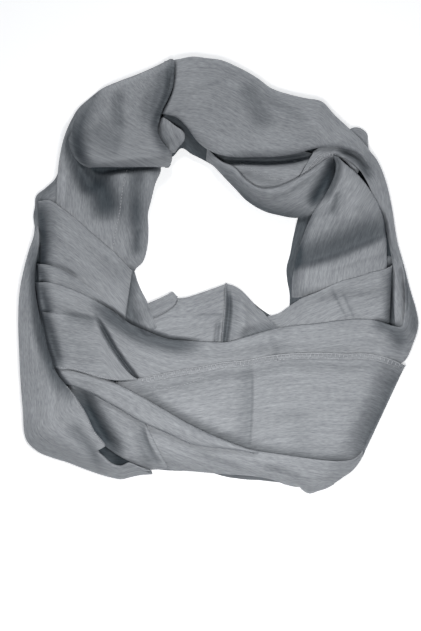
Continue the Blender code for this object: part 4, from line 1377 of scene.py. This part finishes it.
def make_core(level, mound, top, material):
    points = core_points(mound)
    closed = np.concatenate([points, points[:1]])
    count = len(SIDE_LIPS)
    top.raise_to(dense_places(closed[:, count - 1 : 1 - count], 4))
    across = distances_across(points)
    along = np.arange(len(points))[:, None] * CORE_TEXTURE_STEP + 0 * across
    # Painted shade: the core shows only in gaps between the layers, so its top is painted fully dark and
    # its folded sides at least CORE_SIDE_SHADE dark
    hollow = np.maximum(trough_painted_shade(points[..., 0], points[..., 1], level, mound), CORE_SIDE_SHADE)
    hollow[:, count:-count] = 1.0
    data = np.dstack([points, across, along, hollow])
    piece = grid_object("core_layers", data, material, loop=True)
    bm = bmesh.new()
    bm.from_mesh(piece.data)
    bmesh.ops.recalc_face_normals(bm, faces=bm.faces)
    bm.to_mesh(piece.data)
    bm.free()
    declare(piece, "core")


def make_stretch(stretch, seed, level, mound, top, material):
    data = lay_stretch(stretch, seed, level, mound, top)
    piece = grid_object(stretch.name + "_cloth", data, material)
    shell = piece.modifiers.new("thickness", "SOLIDIFY")
    shell.thickness = THICKNESS * MM
    shell.offset = -1.0
    declare(piece, stretch.name)
    return piece, data[..., 0:3]


class Shading:
    """A material and the nodes that feed its shader."""

    def __init__(self, name, **constants):
        self.material = bpy.data.materials.new(name)
        self.material.use_nodes = True
        self.nodes = self.material.node_tree.nodes
        self.links = self.material.node_tree.links
        self.shader = self.nodes["Principled BSDF"]
        for socket, value in constants.items():
            self.shader.inputs[socket.replace("_", " ")].default_value = value

    def noise(self, place, scale, detail, roughness):
        noise = self.nodes.new("ShaderNodeTexNoise")
        noise.inputs["Scale"].default_value = scale
        noise.inputs["Detail"].default_value = detail
        noise.inputs["Roughness"].default_value = roughness
        self.links.new(place, noise.inputs["Vector"])
        return noise.outputs["Fac"]

    def streaks(self, uv, width, length, detail):
        """Noise drawn out along the grain, width and length in metres."""
        place = self.nodes.new("ShaderNodeMapping")
        place.inputs["Scale"].default_value = (1 / width, 1 / length, 1)
        self.links.new(uv, place.inputs["Vector"])
        return self.noise(place.outputs["Vector"], 1.0, detail, 0.55)

    def bump(self, height, distance, before=None):
        """A normal raised by a height, on top of an earlier one."""
        node = self.nodes.new("ShaderNodeBump")
        node.inputs["Strength"].default_value = 1.0
        node.inputs["Distance"].default_value = distance
        self.links.new(height, node.inputs["Height"])
        if before:
            self.links.new(before, node.inputs["Normal"])
        return node.outputs["Normal"]

    def toned(self, noise, low_tone, high_tone, span):
        """A colour that a noise takes from low_tone to high_tone over a span of its values."""
        shades = self.nodes.new("ShaderNodeValToRGB")
        low, high = shades.color_ramp.elements
        low.position, high.position = span
        low.color = (*low_tone, 1)
        high.color = (*high_tone, 1)
        self.links.new(noise, shades.inputs["Fac"])
        return shades.outputs["Color"]

    def multiplied(self, first):
        """A node that multiplies a colour by another: its factor, the other and the result."""
        mix = self.nodes.new("ShaderNodeMix")
        mix.data_type = "RGBA"
        mix.blend_type = "MULTIPLY"
        mix.inputs[0].default_value = 1.0
        self.links.new(first, mix.inputs[6])
        return mix.inputs[0], mix.inputs[7], mix.outputs[2]

    def product(self, first, second):
        _, other, result = self.multiplied(first)
        self.links.new(second, other)
        return result


def chiffon_material():
    """Satin-faced crinkled cloth. Its texture follows the grain, measured in metres."""
    cloth = Shading(
        "chiffon",
        Roughness=0.62,
        Specular_IOR_Level=0.22,
        Sheen_Weight=0.12,
        Sheen_Roughness=0.45,
        Sheen_Tint=(0.8, 0.87, 1.0, 1.0),
    )
    map_node = cloth.nodes.new("ShaderNodeUVMap")
    map_node.uv_map = "cloth"
    uv = map_node.outputs["UV"]
    broad = cloth.bump(cloth.streaks(uv, 0.005, 0.04, 1.0), 0.0005)
    fine = cloth.bump(cloth.streaks(uv, 0.0013, 0.009, 2.0), 0.0004, broad)
    weave = cloth.bump(cloth.streaks(uv, 0.00035, 0.0007, 0.0), 0.00003, fine)
    cloth.links.new(weave, cloth.shader.inputs["Normal"])

    dark, light = ([c * share for c in CLOTH_COLOUR] for share in (0.95, 1.04))
    span = (0.3, 0.7)
    patches = cloth.toned(cloth.streaks(uv, 0.012, 0.05, 3.0), dark, light, span)
    long_noise, line_noise = cloth.streaks(uv, 0.0024, 0.05, 1.0), cloth.streaks(uv, 0.0009, 0.0065, 2.0)
    long_lines = cloth.toned(long_noise, (0.88, 0.88, 0.89), (1.09, 1.09, 1.09), span)
    lines = cloth.toned(line_noise, (0.78, 0.78, 0.80), (1.18, 1.18, 1.17), span)
    colour = cloth.product(cloth.product(patches, long_lines), lines)

    # Painted shade: the cloth colour is darkened towards a dark tint in troughs and under other layers
    hollow = cloth.nodes.new("ShaderNodeAttribute")
    hollow.attribute_name = "hollow"
    factor, tint, result = cloth.multiplied(colour)
    tint.default_value = (*PAINTED_SHADE_TINT, 1)
    cloth.links.new(hollow.outputs["Fac"], factor)
    cloth.links.new(result, cloth.shader.inputs["Base Color"])
    return cloth.material


def thread_material():
    thread = Shading("thread", Roughness=0.6)
    place = thread.nodes.new("ShaderNodeTexCoord")
    noise = thread.noise(place.outputs["Object"], 900.0, 2.0, 0.5)
    dark, light = ([c * share for c in THREAD_COLOUR] for share in (0.75, 1.2))
    shades = thread.toned(noise, dark, light, (0, 1))
    thread.links.new(shades, thread.shader.inputs["Base Color"])
    return thread.material


def make_camera():
    data = bpy.data.cameras.new("camera")
    data.sensor_fit = "AUTO"
    data.sensor_width = SENSOR_WIDTH
    data.lens = SENSOR_WIDTH * (CAMERA_HEIGHT - CLOTH_LEVEL) / (PHOTO_SIZE[1] * MM)
    data.clip_end = 20
    camera = add_object("camera", data)
    x = (PHOTO_SIZE[0] / 2 - PLAN_MIDDLE[0]) * MM
    y = (PLAN_MIDDLE[1] - PHOTO_SIZE[1] / 2) * MM
    camera.location = (x, y, CAMERA_HEIGHT)
    bpy.context.scene.camera = camera


def make_light(name, place, target, size, power, spread):
    """A soft square light."""
    data = bpy.data.lights.new(name, "AREA")
    data.shape = "SQUARE"
    data.size = size
    data.energy = power
    data.spread = radians(spread)
    light = add_object(name, data)
    light.location = place
    light.rotation_euler = (Vector(place) - Vector(target)).to_track_quat("Z", "Y").to_euler()
    light.visible_camera = False


def make_floor():
    mesh = bpy.data.meshes.new("floor")
    corners = [(x * FLOOR_HALF, y * FLOOR_HALF, 0) for x, y in ((-1, -1), (1, -1), (1, 1), (-1, 1))]
    mesh.from_pydata(corners, [], [(0, 1, 2, 3)])
    floor = Shading(
        "floor",
        Base_Color=FLOOR_COLOUR,
        Roughness=0.9,
        Specular_IOR_Level=0.1,
        Emission_Color=(1, 1, 1, 1),
        Emission_Strength=FLOOR_GLOW,
    )
    mesh.materials.append(floor.material)
    add_object("floor", mesh)


def make_world():
    world = bpy.data.worlds.new("room")
    world.use_nodes = True
    background = world.node_tree.nodes["Background"]
    background.inputs["Color"].default_value = ROOM_COLOUR
    background.inputs["Strength"].default_value = ROOM_LIGHT
    bpy.context.scene.world = world


def main():
    make_camera()
    make_floor()
    make_world()
    for light in LIGHTS:
        make_light(*light)
    bpy.context.scene.view_settings.view_transform = "Standard"
    chiffon = chiffon_material()
    level = mound_plan()
    mounds = sunken_mounds(level)
    top = Plan(PILE_STEP)
    make_core(level, mounds["core"], top, chiffon)
    pieces, laid = {}, {}
    for seed, stretch in enumerate(STRETCHES):
        made = make_stretch(stretch, seed, level, mounds[stretch.name], top, chiffon)
        pieces[stretch.name], laid[stretch.name] = made
    thread = thread_material()
    hem = make_stitches("hem_stitches", HEM_LADDERS, HEM_RUNS, pieces, thread)
    seam = make_stitches("seam_stitches", SEAM_LADDERS, SEAM_RUNS, pieces, thread)


main()
